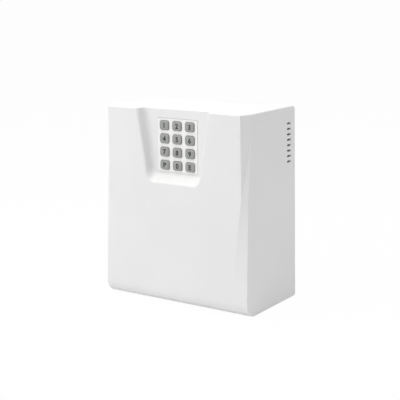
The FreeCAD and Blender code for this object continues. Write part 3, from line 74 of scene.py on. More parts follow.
# ---- keys ----------------------------------------------------------------------
# name of the CAD node and what is printed on it, row by row from the top
LEGENDS = (
    ("key_1", "1"), ("key_2", "2"), ("key_3", "3"),
    ("key_4", "4"), ("key_5", "5"), ("key_6", "6"),
    ("key_7", "7"), ("key_8", "8"), ("key_9", "9"),
    ("key_program", "P"), ("key_0", "0"), ("key_enter", "E"),
)
KEY_RIM = 0.8 * MM
KEY_RIM_THICK = 0.8 * MM
KEY_RIM_BREAK = 0.1 * MM       # softened rear edge of the rim
KEY_DEEP = 5.1 * MM            # from a key's face back to the rear of its rim
KEY_DRAFT = 0.15 * MM          # how much the wall draws in towards the face
KEY_SQUARENESS = (5.4, 4.2)    # superellipse powers at the rim and on the face
KEY_COLUMNS = 56               # points round one ring of a key
KEY_ARC_STEPS = 7              # rings round the edge of the face
KEY_CROWN_STEPS = 9            # rings over the crown, its two ends included
LEGEND_ASIDE = 0.6 * MM        # legends are printed a little right of the middle
LEGEND_FONT = 1.38             # font size over the height of a digit
LEGEND_BOLD = 0.05             # outset of the strokes over the height of a digit
LEGEND_THICK = 0.05 * MM       # half the thickness of the print
LEGEND_SUNK = 0.04 * MM        # middle of the print below the key's face
LEGEND_STEPS = 6               # points along each curve of a letter

# ---- small parts on the boards -------------------------------------------------
PRINT_THICK = 0.04 * MM
PRINT_WIDE = 0.2 * MM
PRINT_MARGIN = 1.4 * MM        # between a part and the outline printed round it
LEAD_PITCH = 1.27 * MM
HEADER_PITCH = 2.54            # in mm, as the places on the boards are
CHIP_LEADS = 17                # on each side of the large chip
CHIP_LEAD = (0.8 * MM, 2.4 * MM, 0.5 * MM)
CHIP_LEAD_MIDDLE = 1.2 * MM    # above the board
SMALL_CHIP = (8.7 * MM, 1.6 * MM, 3.9 * MM)
SMALL_CHIP_LEADS = 7           # on each long side
SMALL_CHIP_LEAD = (0.42 * MM, 0.7 * MM, 1.3 * MM)
LEAD_DOWN, LEAD_OUT = 0.3, 0.62       # middle of a lead, as shares of the small chip
CHIP_PART = (2.0 * MM, 0.55 * MM, 1.25 * MM)
CHIP_PART_END = (0.5 * MM, CHIP_PART[1] * 1.06, CHIP_PART[2] * 1.06)   # a little proud
RESISTOR_UP = 1.5 * MM         # middle of a resistor above the board
RESISTOR_WIRE = (0.5 * MM, 1.6 * MM, 0.5 * MM)
CRYSTAL = (4.4 * MM, 3.6 * MM, 10.5 * MM)
CRYSTAL_UP = 0.1 * MM          # gap between the crystal and the board
JUMPER_BASE = (7.6 * MM, 2.5 * MM, 5.1 * MM)
JUMPER_PIN = (0.64 * MM, 8.4 * MM, 0.64 * MM)
# radius of the softened edges
PART_EDGE = 0.08 * MM          # chip resistors
FINE_EDGE = 0.1 * MM           # their ends and the small chips' leads
LEAD_EDGE = 0.12 * MM          # the large chip's leads and the jumper's pins
WIRE_EDGE = 0.15 * MM          # wires and tags
BASE_EDGE = 0.2 * MM           # jumper base
CHIP_EDGE = 0.25 * MM          # small chips
CASE_EDGE = 0.3 * MM           # collars and flanges
STRIP_EDGE = 0.4 * MM          # vent strip
CRYSTAL_EDGE = 1.6 * MM

# places in mm from a board's lower left corner: first, step and count across, then up
CHIP_PART_FIELDS = ((8, 5, 3, 24, 3.4, 9), (52, 5, 2, 20, 3.4, 13), (122, 4.4, 3, 60, 4, 7))
SMALL_CHIP_FIELD = (14, 13, 3, 77, 1, 1)
RESISTOR_FIELD = (12, 5.08, 10, 16.5, 1, 1)
RESISTOR_WIRES_ASIDE = 4.4     # above and below the middle of the row
KEYPAD_PART_FIELD = (9, 5.2, 5, 9, 5, 5)
DRIVER_CHIP_FIELD = (55, 1, 1, 14, 1, 1)
SOLDER_FIELD = (9, HEADER_PITCH, 10, 36.0, HEADER_PITCH, 2)
CRYSTAL_AT = (14, 61)
JUMPER_AT = (86, 24)
# lamps: piece, colour, slot and place
LAMPS = (("power_lamp", (0.05, 0.35, 0.06), "terminal_green", (63, 83)),
         ("fault_lamp", (0.50, 0.03, 0.02), "button_red", (63, 76)))

# turned shapes: radius and distance along the axis, from pole to pole
RESISTOR_SHAPE = np.array([(0.9, -3.3), (1.3, -3.0), (1.35, -2.2), (1.15, -1.6), (1.15, 1.6),
                           (1.35, 2.2), (1.3, 3.0), (0.9, 3.3)]) * MM
LAMP_SHAPE = np.array([(1.7, 0.0), (1.9, -0.2), (1.9, -1.0), (1.5, -1.1), (1.5, -3.2),
                       (1.3, -4.0), (0.8, -4.5), (0.3, -4.65)]) * MM
SOLDER_SHAPE = np.array([(0.9, 0.0), (0.85, 0.15), (0.5, 0.45), (0.3, 0.9), (0.2, 1.0)]) * MM

# ---- battery and transformer ---------------------------------------------------
COLLAR_REACH = 4.9 * MM        # from a tab's middle to the middle of its collar's bars
COLLAR_TALL = 1.6 * MM
COLLAR_BAR = 1.2 * MM
COLLAR_LAP = 0.2 * MM          # how far a collar's end bars run into its side bars
TAB_HALF = 4 * MM              # from the outer end of a tab to its middle
VENT_STRIP = (104 * MM, 20 * MM, 1.0 * MM)
VENT_STRIP_BACK = 8 * MM       # behind the middle of the lid
FLANGE_THICK = 1.2 * MM
FLANGE_PROUD = 0.8 * MM        # beyond the winding
BOBBIN_TAG = (0.6 * MM, 2.6 * MM, 3.6 * MM)
BOBBIN_TAG_UP = 2.6 * MM
BOBBIN_TAG_ROW = (-9 * MM, 0, 9 * MM)

# ---- finishes of single pieces -------------------------------------------------
CLEAN = 0.012                  # how far slow mottling changes a clean moulding's colour
BLACK_MOULDINGS = ("keypad_beeper", "ribbon_socket", "ribbon_plug", "tamper_switch",
                   "microcontroller", "regulator", "board_header")
# node, material, colour, roughness, (grain, depth and edge softness in mm), mottling
MOULDINGS = (
    ("battery", "battery_case", (0.035, 0.037, 0.042), 0.40, (0.5, 0.02, 0.6), 0.15),
    ("mains_block", "mains_block", (0.62, 0.61, 0.56), 0.38, (0.25, 0.01, 0.2), CLEAN),
    ("tamper_plunger", "red_plunger", (0.42, 0.02, 0.02), 0.3, (0.2, 0.004, 0.1), 0.1),
    ("terminal_strips", "green_terminals", (0.02, 0.24, 0.09), 0.3, (0.2, 0.005, 0.15), 0.08),
    ("relay", "blue_relay", (0.02, 0.07, 0.32), 0.26, (0.2, 0.004, 0.2), 0.08),
    ("capacitors", "sleeved_cans", (0.02, 0.02, 0.06), 0.22, (0.3, 0.004, 0.15), 0.1),
)
LEADS = (
    ("battery_lead_black", "black_lead", (0.02, 0.02, 0.02)),
    ("battery_lead_red", "red_lead", (0.42, 0.02, 0.02)),
    ("transformer_leads", "yellow_leads", (0.60, 0.42, 0.03)),
    ("mains_leads", "brown_leads", (0.16, 0.07, 0.03)),
)
SCREWS = ("cover_screws", "keypad_screws", "strap_screws", "transformer_screws",
          "mains_block_screws", "tamper_screws", "board_screws", "terminal_screws")
HATCH_PITCH = 1.27 * MM        # copper hatching under the solder mask
HATCH_GAP = 0.34               # share of the pitch without copper
SHEET_STEP = 0.5 * MM          # from lamination to lamination
TAPE_STEP = 9.5 * MM           # from lap to lap of the coil's tape
COIL_STEP = 0.45 * MM          # from wire to wire under the tape
BAND_HALF = 0.28 * MM          # half the width of a resistor's painted band
# painted bands of a resistor: middle in mm and colour
BANDS = ((-1.9, (0.20, 0.08, 0.03)), (-0.8, (0.02, 0.02, 0.02)),
         (0.3, (0.55, 0.16, 0.02)), (1.9, (0.50, 0.36, 0.06)))
FUSE_CAP = 5.5 * MM            # length of the fuse's metal caps

# ---- stage ---------------------------------------------------------------------
COOL = (0.985, 0.982, 1.0, 1.0)       # light from all round
WARM = (1.0, 0.992, 0.975)            # lamps
WHITE = (1.0, 1.0, 1.0, 1.0)
FLOOR_REACH = 60.0                    # half the floor's width, in metres
FLOOR_GLOW = 0.97                     # share of the floor's white that no shadow dims
FAR_WHITE = 0.985                     # as bright as the floor is far away, so that no horizon shows
# lamps of the stage: name, place, aim, width and the setting that holds its power
LIGHTS = (("front_light", (-0.75, -1.35, 0.75), (0, 0, 0), 1.2, "key_light"),
          ("top_light", (-0.15, -0.25, 1.3), (0, -0.05, 0), 1.0, "top_light"),
          ("side_light", (1.4, 0.35, 0.35), (0, -0.05, 0), 1.0, "side_light"))

# view from the front right, slightly above
CAMERA_AT = (0.66308, -1.04469, 0.25978)
CAMERA_RIGHT = (0.83211, 0.55451, -0.01076)
CAMERA_UP = (-0.10885, 0.18231, 0.97720)
CAMERA_LENS = 89.99
CAMERA_SENSOR = 36.0
CAMERA_NEAR = 0.01


# ---- sizes and colours a user may change ------------------------------------
class PanelLooks(bpy.types.PropertyGroup):
    """Sizes and colours of the panel's finish."""

    cover_colour: FloatVectorProperty(
        name="Cover colour", description="White of the moulded cover",
        subtype="COLOR", size=3, default=(0.80, 0.80, 0.80), min=0, max=1)
    insert_colour: FloatVectorProperty(
        name="Insert colour", description="White of the insert round the keys",
        subtype="COLOR", size=3, default=(0.88, 0.88, 0.87), min=0, max=1)
    key_colour: FloatVectorProperty(
        name="Key colour", description="Grey of the rubber keys",
        subtype="COLOR", size=3, default=(0.33, 0.34, 0.33), min=0, max=1)
    legend_colour: FloatVectorProperty(
        name="Legend colour", description="Dark grey of the printed legends",
        subtype="COLOR", size=3, default=(0.014, 0.014, 0.016), min=0, max=1)
    mask_colour: FloatVectorProperty(
        name="Board colour", description="Solder mask of the circuit boards",
        subtype="COLOR", size=3, default=(0.016, 0.13, 0.05), min=0, max=1)
    grain_size: FloatProperty(
        name="Grain size", description="Width of the moulded texture's grains",
        unit="LENGTH", default=0.35 * MM, min=0.05 * MM, max=2 * MM)
    grain_depth: FloatProperty(
        name="Grain depth", description="Depth of the moulded texture",
        unit="LENGTH", default=0.012 * MM, min=0, max=0.2 * MM)
    edge_softness: FloatProperty(
        name="Edge softness", description="Radius that breaks the small sharp edges",
        unit="LENGTH", default=0.35 * MM, min=0, max=2 * MM)
    cap_round: FloatProperty(
        name="Key edge radius", description="Radius round the top of each key",
        unit="LENGTH", default=1.0 * MM, min=0.2 * MM, max=2 * MM)
    cap_crown: FloatProperty(
        name="Key crown", description="How much a key's middle stands above its edge",
        unit="LENGTH", default=0.25 * MM, min=0, max=1 * MM)
    legend_height: FloatProperty(
        name="Legend height", description="Height of a printed digit or letter",
        unit="LENGTH", default=5.7 * MM, min=2 * MM, max=9 * MM)
    key_light: FloatProperty(
        name="Key light", description="Power of the large front light",
        default=8.0, min=0)
    side_light: FloatProperty(
        name="Side light", description="Power of the light from the right rear",
        default=1.6, min=0)
    top_light: FloatProperty(
        name="Top light", description="Power of the overhead light",
        default=10.5, min=0)
    fill_light: FloatProperty(
        name="Surrounding light", description="Brightness of the light from all round",
        default=0.57, min=0, max=2)


def looks():
    """The panel's settings in the open scene."""
    return bpy.context.scene.panel_looks


# ---- shader expressions --------------------------------------------------------
class Wire:
    """One shader socket; arithmetic on it adds Math nodes to its tree."""

    def __init__(self, finish, socket):
        self.finish = finish
        self.socket = socket

    def math(self, operation, *others):
        """A Math node fed with this wire, then with other wires or numbers."""
        return self.finish.maths(operation, self, *others)

    def __add__(self, other):
        return self.math("ADD", other)

    def __radd__(self, other):
        return self.finish.maths("ADD", other, self)

    def __sub__(self, other):
        return self.math("SUBTRACT", other)

    def __rsub__(self, other):
        return self.finish.maths("SUBTRACT", other, self)

    def __mul__(self, other):
        return self.math("MULTIPLY", other)

    def __rmul__(self, other):
        return self.finish.maths("MULTIPLY", other, self)

    def __truediv__(self, other):
        return self.math("DIVIDE", other)

    def __gt__(self, other):
        return self.math("GREATER_THAN", other)

    def __lt__(self, other):
        return self.math("LESS_THAN", other)


class Finish:
    """The node tree of a new material or world, and the one method that adds nodes to it."""

    def __init__(self, name, kind="materials"):
        self.owner = getattr(bpy.data, kind).new(name)
        self.owner.use_nodes = True
        self.tree = self.owner.node_tree
        self.tree.nodes.clear()

    def node(self, kind, settings=None, sockets=None, out=0):
        """Adds a node: its settings first, then the values or links of its sockets."""
        made = self.tree.nodes.new(kind)
        for key, value in (settings or {}).items():
            setattr(made, key, value)
        for key, value in (sockets or {}).items():
            if isinstance(value, Wire):
                self.tree.links.new(value.socket, made.inputs[key])
            else:
                made.inputs[key].default_value = value
        return Wire(self, made.outputs[out]) if len(made.outputs) else made

    def maths(self, operation, *values):
        """A Math node fed with wires or numbers, in order."""
        return self.node("ShaderNodeMath", {"operation": operation}, dict(enumerate(values)))

    def place(self):
        """Object coordinates, in metres."""
        return self.node("ShaderNodeTexCoord", out="Object")

    def noise(self, where, size, detail=2.0, rough=0.5):
        """Soft noise whose lumps are about `size` metres across, from 0 to 1."""
        sockets = {"Vector": where, "Scale": 1.0 / size, "Detail": detail, "Roughness": rough}
        return self.node("ShaderNodeTexNoise", None, sockets, "Fac")

    def stretched(self, where, scale):
        """Coordinates multiplied along X, Y and Z."""
        return self.node("ShaderNodeVectorMath", {"operation": "MULTIPLY"}, {0: where, 1: scale})

    def axis(self, where, name):
        """One coordinate of a vector: X, Y or Z."""
        return self.node("ShaderNodeSeparateXYZ", None, {0: where}, name)

    def mix(self, share, first, second):
        """Colour between two colours; inputs 6 and 7 and output 2 of the node are its colours."""
        return self.node("ShaderNodeMix", {"data_type": "RGBA"},
                         {0: share, 6: rgba(first), 7: rgba(second)}, 2)

    def smooth(self, value, low, high):
        """0 below `low`, 1 above `high`, eased in between."""
        return self.node("ShaderNodeMapRange", {"interpolation_type": "SMOOTHSTEP"},
                         {"Value": value, "From Min": low, "From Max": high})

    def edges(self, radius):
        """1 on edges sharper than the given radius, 0 on flats."""
        soft = self.node("ShaderNodeBevel", {"samples": 4}, {"Radius": radius})
        true = self.node("ShaderNodeNewGeometry", out="Normal")
        along = self.node("ShaderNodeVectorMath", {"operation": "DOT_PRODUCT"}, {0: soft, 1: true},
                          "Value")
        return self.smooth(1.0 - along, 0.01, 0.15)

    def bump(self, height, depth, strength=1.0, radius=0.0):
        """Normal raised by a height from 0 to 1, over edges softened by a radius."""
        sockets = {"Height": height, "Distance": depth, "Strength": strength}
        if radius:
            sockets["Normal"] = self.node("ShaderNodeBevel", {"samples": 4}, {"Radius": radius})
        return self.node("ShaderNodeBump", None, sockets)

    def surface(self, **sockets):
        """Closes the tree with a Principled surface; underscores stand for spaces."""
        named = {key.replace("_", " "): rgba(value) if key == "Base_Color" else value
                 for key, value in sockets.items()}
        shader = self.node("ShaderNodeBsdfPrincipled", None, named)
        return self.closed(shader)

    def closed(self, shader, kind="Material"):
        """Feeds the output of the material or world, and gives that material or world."""
        self.node("ShaderNodeOutput" + kind, None, {"Surface": shader})
        return self.owner


def rgba(colour):
    """A colour with its fourth number, or the wire it already is."""
    if isinstance(colour, Wire):
        return colour
    return tuple(colour)[:3] + (1.0,)


def scaled(colour, factor):
    """A colour made lighter or darker."""
    return tuple(min(1.0, c * factor) for c in tuple(colour)[:3])


# ---- finishes ------------------------------------------------------------------
def moulded(name, colour, rough=0.45, grain=None, depth=None, soft=None, dust=CLEAN):
    """Moulded plastic: fine grain, slow mottling, edges rubbed a little smoother, and a painted
    highlight that lightens their colour.
    """
    s = looks()
    f = Finish(name)
    at = f.place()
    fine = f.noise(at, grain or s.grain_size, 3.0, 0.6)
    cloud = f.noise(at, 70 * MM, 3.0, 0.5)
    specks = f.smooth(f.noise(at, 1.1 * MM, 2.0), 0.72, 0.84)
    rubbed_and_highlit_edges = f.edges(1.2 * MM)
    tone = f.mix(f.smooth(cloud, 0.2, 0.8), scaled(colour, 1.0 - dust), scaled(colour, 1.0 + dust))
    tone = f.mix(specks * 0.10, tone, scaled(colour, 0.85))
    # painted highlight: the edges are made lighter in colour; their rubbing shows only as the lower
    # roughness below
    tone = f.mix(rubbed_and_highlit_edges * 0.20, tone, scaled(colour, 1.05))
    shine = rough + cloud * 0.06 - rubbed_and_highlit_edges * 0.08 + fine * 0.05
    return f.surface(Base_Color=tone, Roughness=shine,
                     Normal=f.bump(fine, depth or s.grain_depth, 0.6,
                                   s.edge_softness if soft is None else soft))


def small_moulding(name, colour, rough, texture, dust):
    """Moulded plastic of a small piece; texture is its grain, depth and edge softness in mm."""
    return moulded(name, colour, rough, *(size * MM for size in texture), dust)


def rubber(name, colour, rough=0.62):
    """Silicone rubber: matt, faintly dusty, with the mould's fine pores and a painted highlight on its
    edges.
    """
    f = Finish(name)
    at = f.place()
    pores = f.noise(at, 0.22 * MM, 3.0, 0.65)
    dust = f.smooth(f.noise(at, 4.5 * MM, 5.0, 0.6), 0.45, 0.75)
    tone = f.mix(dust * 0.35, scaled(colour, 0.95), scaled(colour, 1.14))
    # painted highlight: the edges are made lighter in colour
    tone = f.mix(f.edges(0.9 * MM) * 0.5, tone, scaled(colour, 1.22))
    return f.surface(Base_Color=tone, Roughness=rough + dust * 0.12,
                     Normal=f.bump(pores, 0.02 * MM, 0.5, 0.2 * MM))


def zinc_steel(name, colour=(0.55, 0.56, 0.57), along=(1, 1, 30), rough=0.32):
    """Zinc-plated steel: fine drawn lines, cloudy plating, and a painted highlight that makes the
    edges brighter.
    """
    f = Finish(name)
    at = f.place()
    lines = f.noise(f.stretched(at, along), 1.6 * MM, 4.0, 0.7)
    cloud = f.smooth(f.noise(at, 6 * MM, 4.0, 0.6), 0.35, 0.7)
    tone = f.mix(cloud, scaled(colour, 0.82), scaled(colour, 1.12))
    # painted highlight: the edges are made brighter in colour
    tone = f.mix(f.edges(0.5 * MM) * 0.6, tone, (0.80, 0.80, 0.80))
    return f.surface(Base_Color=tone, Metallic=1.0, Roughness=rough + lines * 0.16,
                     Normal=f.bump(lines, 0.012 * MM, 0.5, 0.12 * MM))


def solder_mask(name):
    """Circuit board: glossy green lacquer with ground hatching under it and a pale core."""
    colour = looks().mask_colour
    f = Finish(name)
    at = f.place()
    hatch, cross = [(f.axis(at, axis) / HATCH_PITCH).math("FRACT") for axis in "XZ"]
    copper = (hatch > HATCH_GAP) * (cross > HATCH_GAP)
    cloud = f.noise(at, 9 * MM, 3.0)
    tone = f.mix(copper * 0.55, scaled(colour, 1.45), colour)
    tone = f.mix(cloud * 0.35, tone, scaled(colour, 0.7))
    side = f.node("ShaderNodeNewGeometry", out="Normal")
    edge = 1.0 - f.smooth(f.axis(side, "Y").math("ABSOLUTE"), 0.4, 0.6)
    tone = f.mix(edge, tone, (0.30, 0.30, 0.14))
    return f.surface(Base_Color=tone, Roughness=0.26 + cloud * 0.12, Coat_Weight=0.3,
                     Normal=f.bump(copper, 0.02 * MM, 0.35))


def laminations(name):
    """Stack of steel sheets, varnished, seen edge-on across X."""
    f = Finish(name)
    at = f.place()
    sheets = (f.axis(at, "X") / SHEET_STEP).math("PINGPONG", 1.0)
    gap = f.smooth(sheets, 0.0, 0.25)
    rust = f.smooth(f.noise(at, 5 * MM, 5.0, 0.65), 0.55, 0.75)
    tone = f.mix(gap, (0.02, 0.02, 0.022), (0.16, 0.16, 0.17))
    tone = f.mix(rust * 0.35, tone, (0.14, 0.07, 0.04))
    return f.surface(Base_Color=tone, Metallic=0.75, Roughness=0.38 + rust * 0.25,
                     Normal=f.bump(gap, 0.06 * MM, 0.8))


def wrapped_tape(name):
    """Amber tape wound round a coil: overlapping turns with a soft sheen."""
    f = Finish(name)
    at = f.place()
    z = f.axis(at, "Z")
    wave = z + f.noise(at, 9 * MM, 2.0) * (0.8 * MM)
    turn = (wave / TAPE_STEP).math("FRACT")
    lap = f.smooth(turn, 0.0, 0.06)
    wires = (z / COIL_STEP).math("PINGPONG", 1.0)
    tone = f.mix(lap, (0.16, 0.09, 0.02), (0.62, 0.42, 0.07))
    tone = f.mix(wires * 0.22, tone, (0.30, 0.16, 0.04))
    return f.surface(Base_Color=tone, Roughness=0.30 + turn * 0.12, Coat_Weight=0.25,
                     Normal=f.bump(lap + wires * 0.3, 0.10 * MM, 0.6))


def pvc(name, colour):
    """Smooth insulation of a lead, with faint drawing marks."""
    f = Finish(name)
    at = f.place()
    marks = f.noise(at, 1.1 * MM, 3.0)
    tone = f.mix(f.noise(at, 7 * MM, 3.0), scaled(colour, 0.85), scaled(colour, 1.2))
    return f.surface(Base_Color=tone, Roughness=0.34 + marks * 0.12,
                     Normal=f.bump(marks, 0.02 * MM, 0.5))


def ribbed(name, colour, pitch):
    """Flat cable: parallel wires side by side across X, one stripe marked, with painted shade in the
    grooves between the wires.
    """
    f = Finish(name)
    at = f.place()
    x = f.axis(at, "X")
    ridge = (x / (pitch / 2)).math("PINGPONG", 1.0)
    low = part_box("ribbon_cable")[0].x
    first = 1.0 - f.smooth(x, low + pitch * 0.9, low + pitch * 1.1)
    # painted shade: the grooves between the wires are made darker in colour
    tone = f.mix(f.smooth(ridge, 0.0, 0.5), scaled(colour, 0.55), colour)
    tone = f.mix(first, tone, (0.35, 0.02, 0.02))
    return f.surface(Base_Color=tone, Roughness=0.42 + ridge * 0.08,
                     Normal=f.bump(ridge, 0.25 * MM, 0.8))


def colour_bands(name, middle):
    """Film resistor: beige lacquer with four painted bands across its length, along Z."""
    f = Finish(name)
    at = f.place()
    along = f.axis(at, "Z") - middle
    tone = f.mix(f.noise(at, 1.4 * MM, 3.0), (0.46, 0.33, 0.20), (0.56, 0.42, 0.27))
    for place, colour in BANDS:
        far = (along - place * MM).math("ABSOLUTE")
        tone = f.mix(far < BAND_HALF, tone, colour)
    return f.surface(Base_Color=tone, Roughness=0.3 + f.noise(at, 0.6 * MM) * 0.1, Coat_Weight=0.3)


def clear_glass(name):
    """Glass tube of the fuse, with its end caps in plated brass."""
    f = Finish(name)
    at = f.place()
    low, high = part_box("fuse")
    middle = (low.x + high.x) / 2
    reach = (high.x - low.x) / 2 - FUSE_CAP
    cap = (f.axis(at, "X") - middle).math("ABSOLUTE") > reach
    scuffs = f.noise(at, 1.5 * MM, 4.0)
    glass = f.node("ShaderNodeBsdfPrincipled", None, {
        "Base Color": (0.86, 0.90, 0.88, 1.0), "Roughness": 0.06, "Alpha": 0.35})
    metal = f.node("ShaderNodeBsdfPrincipled", None, {
        "Base Color": (0.66, 0.66, 0.64, 1.0), "Metallic": 1.0, "Roughness": scuffs * 0.2 + 0.22})
    return f.closed(f.node("ShaderNodeMixShader", None, {0: cap, 1: glass, 2: metal}))


def tinned(name, colour=(0.72, 0.71, 0.68)):
    """Tin-plated brass or solder: bright, slightly dimpled."""
    f = Finish(name)
    at = f.place()
    dimple = f.noise(at, 0.7 * MM, 3.0)
    tone = f.mix(f.noise(at, 3 * MM, 3.0), scaled(colour, 0.75), colour)
    return f.surface(Base_Color=tone, Metallic=1.0, Roughness=0.20 + dimple * 0.2,
                     Normal=f.bump(dimple, 0.03 * MM, 0.5))


# ---- meshes --------------------------------------------------------------------
def grid_quads(rows, columns, closed):
    """Quads of a grid of points, row after row; `closed` joins the last column to the first."""
    across = columns if closed else columns - 1
    i, j = np.meshgrid(np.arange(rows - 1), np.arange(across), indexing="ij")
    here = i * columns + j
    beside = i * columns + (j + 1) % columns
    return np.stack([here, beside, beside + columns, here + columns], -1).reshape(-1, 4)


def piece(name, points, faces, body, slot, material, smooth=True):
    """Puts a numpy mesh in the scene, riding on a CAD body."""
    mesh = bpy.data.meshes.new(name)
    mesh.from_pydata(np.asarray(points).reshape(-1, 3).tolist(), [], [list(f) for f in faces])
    mesh.materials.append(material)
    shell = bmesh.new()
    shell.from_mesh(mesh)
    bmesh.ops.remove_doubles(shell, verts=shell.verts, dist=WELD)
    bmesh.ops.recalc_face_normals(shell, faces=shell.faces)
    shell.to_mesh(mesh)
    shell.free()
    mesh.polygons.foreach_set("use_smooth", np.full(len(mesh.polygons), smooth))
    made = bpy.data.objects.new(name, mesh)
    bpy.context.scene.collection.objects.link(made)
    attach(made, body)
    return made


def ring(half_x, half_z, power, turns):
    """Superellipse |x/a|^n + |z/b|^n = 1 sampled at even angles, as x and z arrays."""
    c, s = np.cos(turns), np.sin(turns)
    return (half_x * np.sign(c) * np.abs(c) ** (2 / power),
            half_z * np.sign(s) * np.abs(s) ** (2 / power))


def capped(rings):
    """Points and faces of a closed solid through rings, with a pole at either end.

    rings is an array (rows, columns, 3); the poles are the means of the end rings.
    """
    rows, columns = rings.shape[:2]
    points = np.concatenate([rings.reshape(-1, 3), rings[[0, -1]].mean(1)])
    faces = grid_quads(rows, columns, True).tolist()
    start, end = rows * columns, rows * columns + 1
    k = np.arange(columns)
    after = (k + 1) % columns
    faces += np.stack([after, k, np.full(columns, start)], 1).tolist()
    last = (rows - 1) * columns
    faces += np.stack([last + k, last + after, np.full(columns, end)], 1).tolist()
    return points, faces


def round_blocks(low, high, radius):
    """Blocks with softened edges, given as arrays of lowest and highest corners.

    Each face is a grid of 4 by 4 points. A point is the block's middle, plus
    (half size - r) times the signs of its corner, plus r times the direction of
    (a, b, c), each -1, 0 or 1: a box swept by a coarse ball of radius r.
    """
    low, high = np.atleast_2d(low), np.atleast_2d(high)
    line = np.array([-1.0, 0.0, 0.0, 1.0])
    inner = np.array([-1.0, -1.0, 1.0, 1.0])
    count = len(line)
    u, v = np.meshgrid(np.arange(count), np.arange(count), indexing="ij")
    shells, quads, base = [], [], 0
    for axis in range(3):
        for side in (0, count - 1):
            index = np.empty((count, count, 3), int)
            index[..., axis] = side
            index[..., (axis + 1) % 3] = u if side else v
            index[..., (axis + 2) % 3] = v if side else u
            shells.append(index.reshape(-1, 3))
            quads.append(grid_quads(count, count, False) + base)
            base += count * count
    index = np.concatenate(shells)
    core = inner[index]
    out = line[index]
    out = out / np.maximum(np.linalg.norm(out, axis=1, keepdims=True), 1e-9)
    middle, half = (low + high) / 2, (high - low) / 2
    r = np.minimum(radius, half.min(1) * 0.98)[:, None, None]
    points = middle[:, None] + core[None] * (half[:, None] - r) + out[None] * r
    faces = np.concatenate(quads)
    offsets = np.arange(len(low))[:, None, None] * len(index)
    return points.reshape(-1, 3), (faces[None] + offsets).reshape(-1, 4)


def blocks(name, middles, size, radius, body, slot, material):
    """Equal small blocks with softened edges, one at each of the given middles."""
    middles = np.atleast_2d(np.asarray(middles, float))
    half = np.asarray(size, float) / 2
    points, faces = round_blocks(middles - half, middles + half, radius)
    return piece(name, points, faces, body, slot, material, False)


def grid_places(xs, zs, y):
    """Middles (x, y, z) of parts set out in rows and columns on a board."""
    x, z = np.meshgrid(xs, zs)
    return np.stack([x.ravel(), np.full(x.size, y), z.ravel()], -1)


def spread(count, pitch):
    """Evenly pitched places about zero."""
    return (np.arange(count) - (count - 1) / 2) * pitch


def spaced(start, first, step, count):
    """Places start + first, then step by step; first and step are in mm."""
    return start + (first + step * np.arange(count)) * MM


def field(low, places, y):
    """Middles of the parts of a field: first, step and count across, then up."""
    return grid_places(spaced(low.x, *places[:3]), spaced(low.z, *places[3:]), y)


def lathe(profile, centre, direction, columns):
    """A closed solid of revolution about Y or Z through `centre`.

    profile is (radius, distance along the axis) from one pole to the other; a
    point is centre + r (cos t, sin t) across the axis + distance along it.
    """
    profile = np.asarray(profile, float)
    t = np.linspace(0, 2 * math.pi, columns, endpoint=False)
    r, along = profile[:, 0, None], profile[:, 1, None] + 0 * t
    flat = np.stack([r * np.cos(t), r * np.sin(t)], -1)
    rings = np.empty(flat.shape[:2] + (3,))
    others = [0, 1] if direction == 2 else [2, 0]
    rings[..., others[0]] = flat[..., 0]
    rings[..., others[1]] = flat[..., 1]
    rings[..., direction] = along
    return capped(rings + np.asarray(centre))


def together(parts):
    """One set of points and faces from several."""
    points, faces, base = [], [], 0
    for part_points, part_faces in parts:
        part_points = np.asarray(part_points)
        points.append(part_points)
        faces += [[i + base for i in face] for face in np.asarray(part_faces, dtype=object)]
        base += len(part_points)
    return np.concatenate(points), faces


def paint(node, material):
    """Gives a CAD node's slots a material."""
    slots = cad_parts[node].data.materials
    if not len(slots):
        slots.append(material)
    for index in range(len(slots)):
        slots[index] = material


# ---- operators -----------------------------------------------------------------
class PANEL_OT_case(bpy.types.Operator):
    """Finishes the cover, the keypad insert, the back plate and their small parts"""

    bl_idname = "panel.case"
    bl_label = "Case"

    def execute(self, context):
        s = looks()
        paint("front_cover", moulded("white_cover", s.cover_colour, 0.42))
        paint("keypad_fascia",
              moulded("white_insert", s.insert_colour, 0.36, 0.25 * MM, 0.006 * MM))
        paint("back_plate", moulded("white_plate", scaled(s.cover_colour, 0.96), 0.48))
        paint("key_mat", rubber("silicone_web", (0.45, 0.46, 0.45)))
        screw = zinc_steel("zinc_screws", along=(6, 6, 6))
        for node in SCREWS:
            paint(node, screw)
        paint("cable_grommet", rubber("black_grommet", (0.022, 0.022, 0.023), 0.55))
        return {"FINISHED"}


def key_cap(low, high, round_edge, crown):
    """A key as rings of superellipses carried along a profile from rim to crown.

    The profile is (inset from the outline, y). It goes round the rim, up the wall
    with a slight draft, round a quarter circle of radius r, and over the crown,
    where y rises by crown * (1 - (1 - d)^2) as d goes from the edge to the middle.
    The power of the superellipse falls evenly from the rim to the middle.
    """
    half_x, half_z = (high.x - low.x) / 2, (high.z - low.z) / 2
    face, rim_y = low.y, high.y
    rim_front = rim_y - KEY_RIM_THICK
    r = round_edge
    arc = np.linspace(0, math.pi / 2, KEY_ARC_STEPS)
    d = np.linspace(0, 1, KEY_CROWN_STEPS)[1:-1]
    wall = KEY_RIM + KEY_DRAFT
    reach = min(half_x, half_z) - KEY_RIM - r
    inset = np.concatenate([
        [KEY_RIM * 0.6, 0.0, 0.0, KEY_RIM],
        wall + r * (1 - np.cos(arc)),
        wall + r + d * (reach - KEY_DRAFT)])
    y = np.concatenate([
        [rim_y, rim_y - KEY_RIM_BREAK, rim_front, rim_front],
        face + crown + r * (1 - np.sin(arc)),
        face + crown * (1 - d) ** 2])
    turns = np.linspace(0, 2 * math.pi, KEY_COLUMNS, endpoint=False)
    power = np.linspace(*KEY_SQUARENESS, len(inset))[:, None]
    x, z = ring((half_x - inset)[:, None], (half_z - inset)[:, None], power, turns[None])
    rings = np.stack([x + (low.x + high.x) / 2, y[:, None] + 0 * x, z + (low.z + high.z) / 2], -1)
    return capped(rings[:, ::-1])


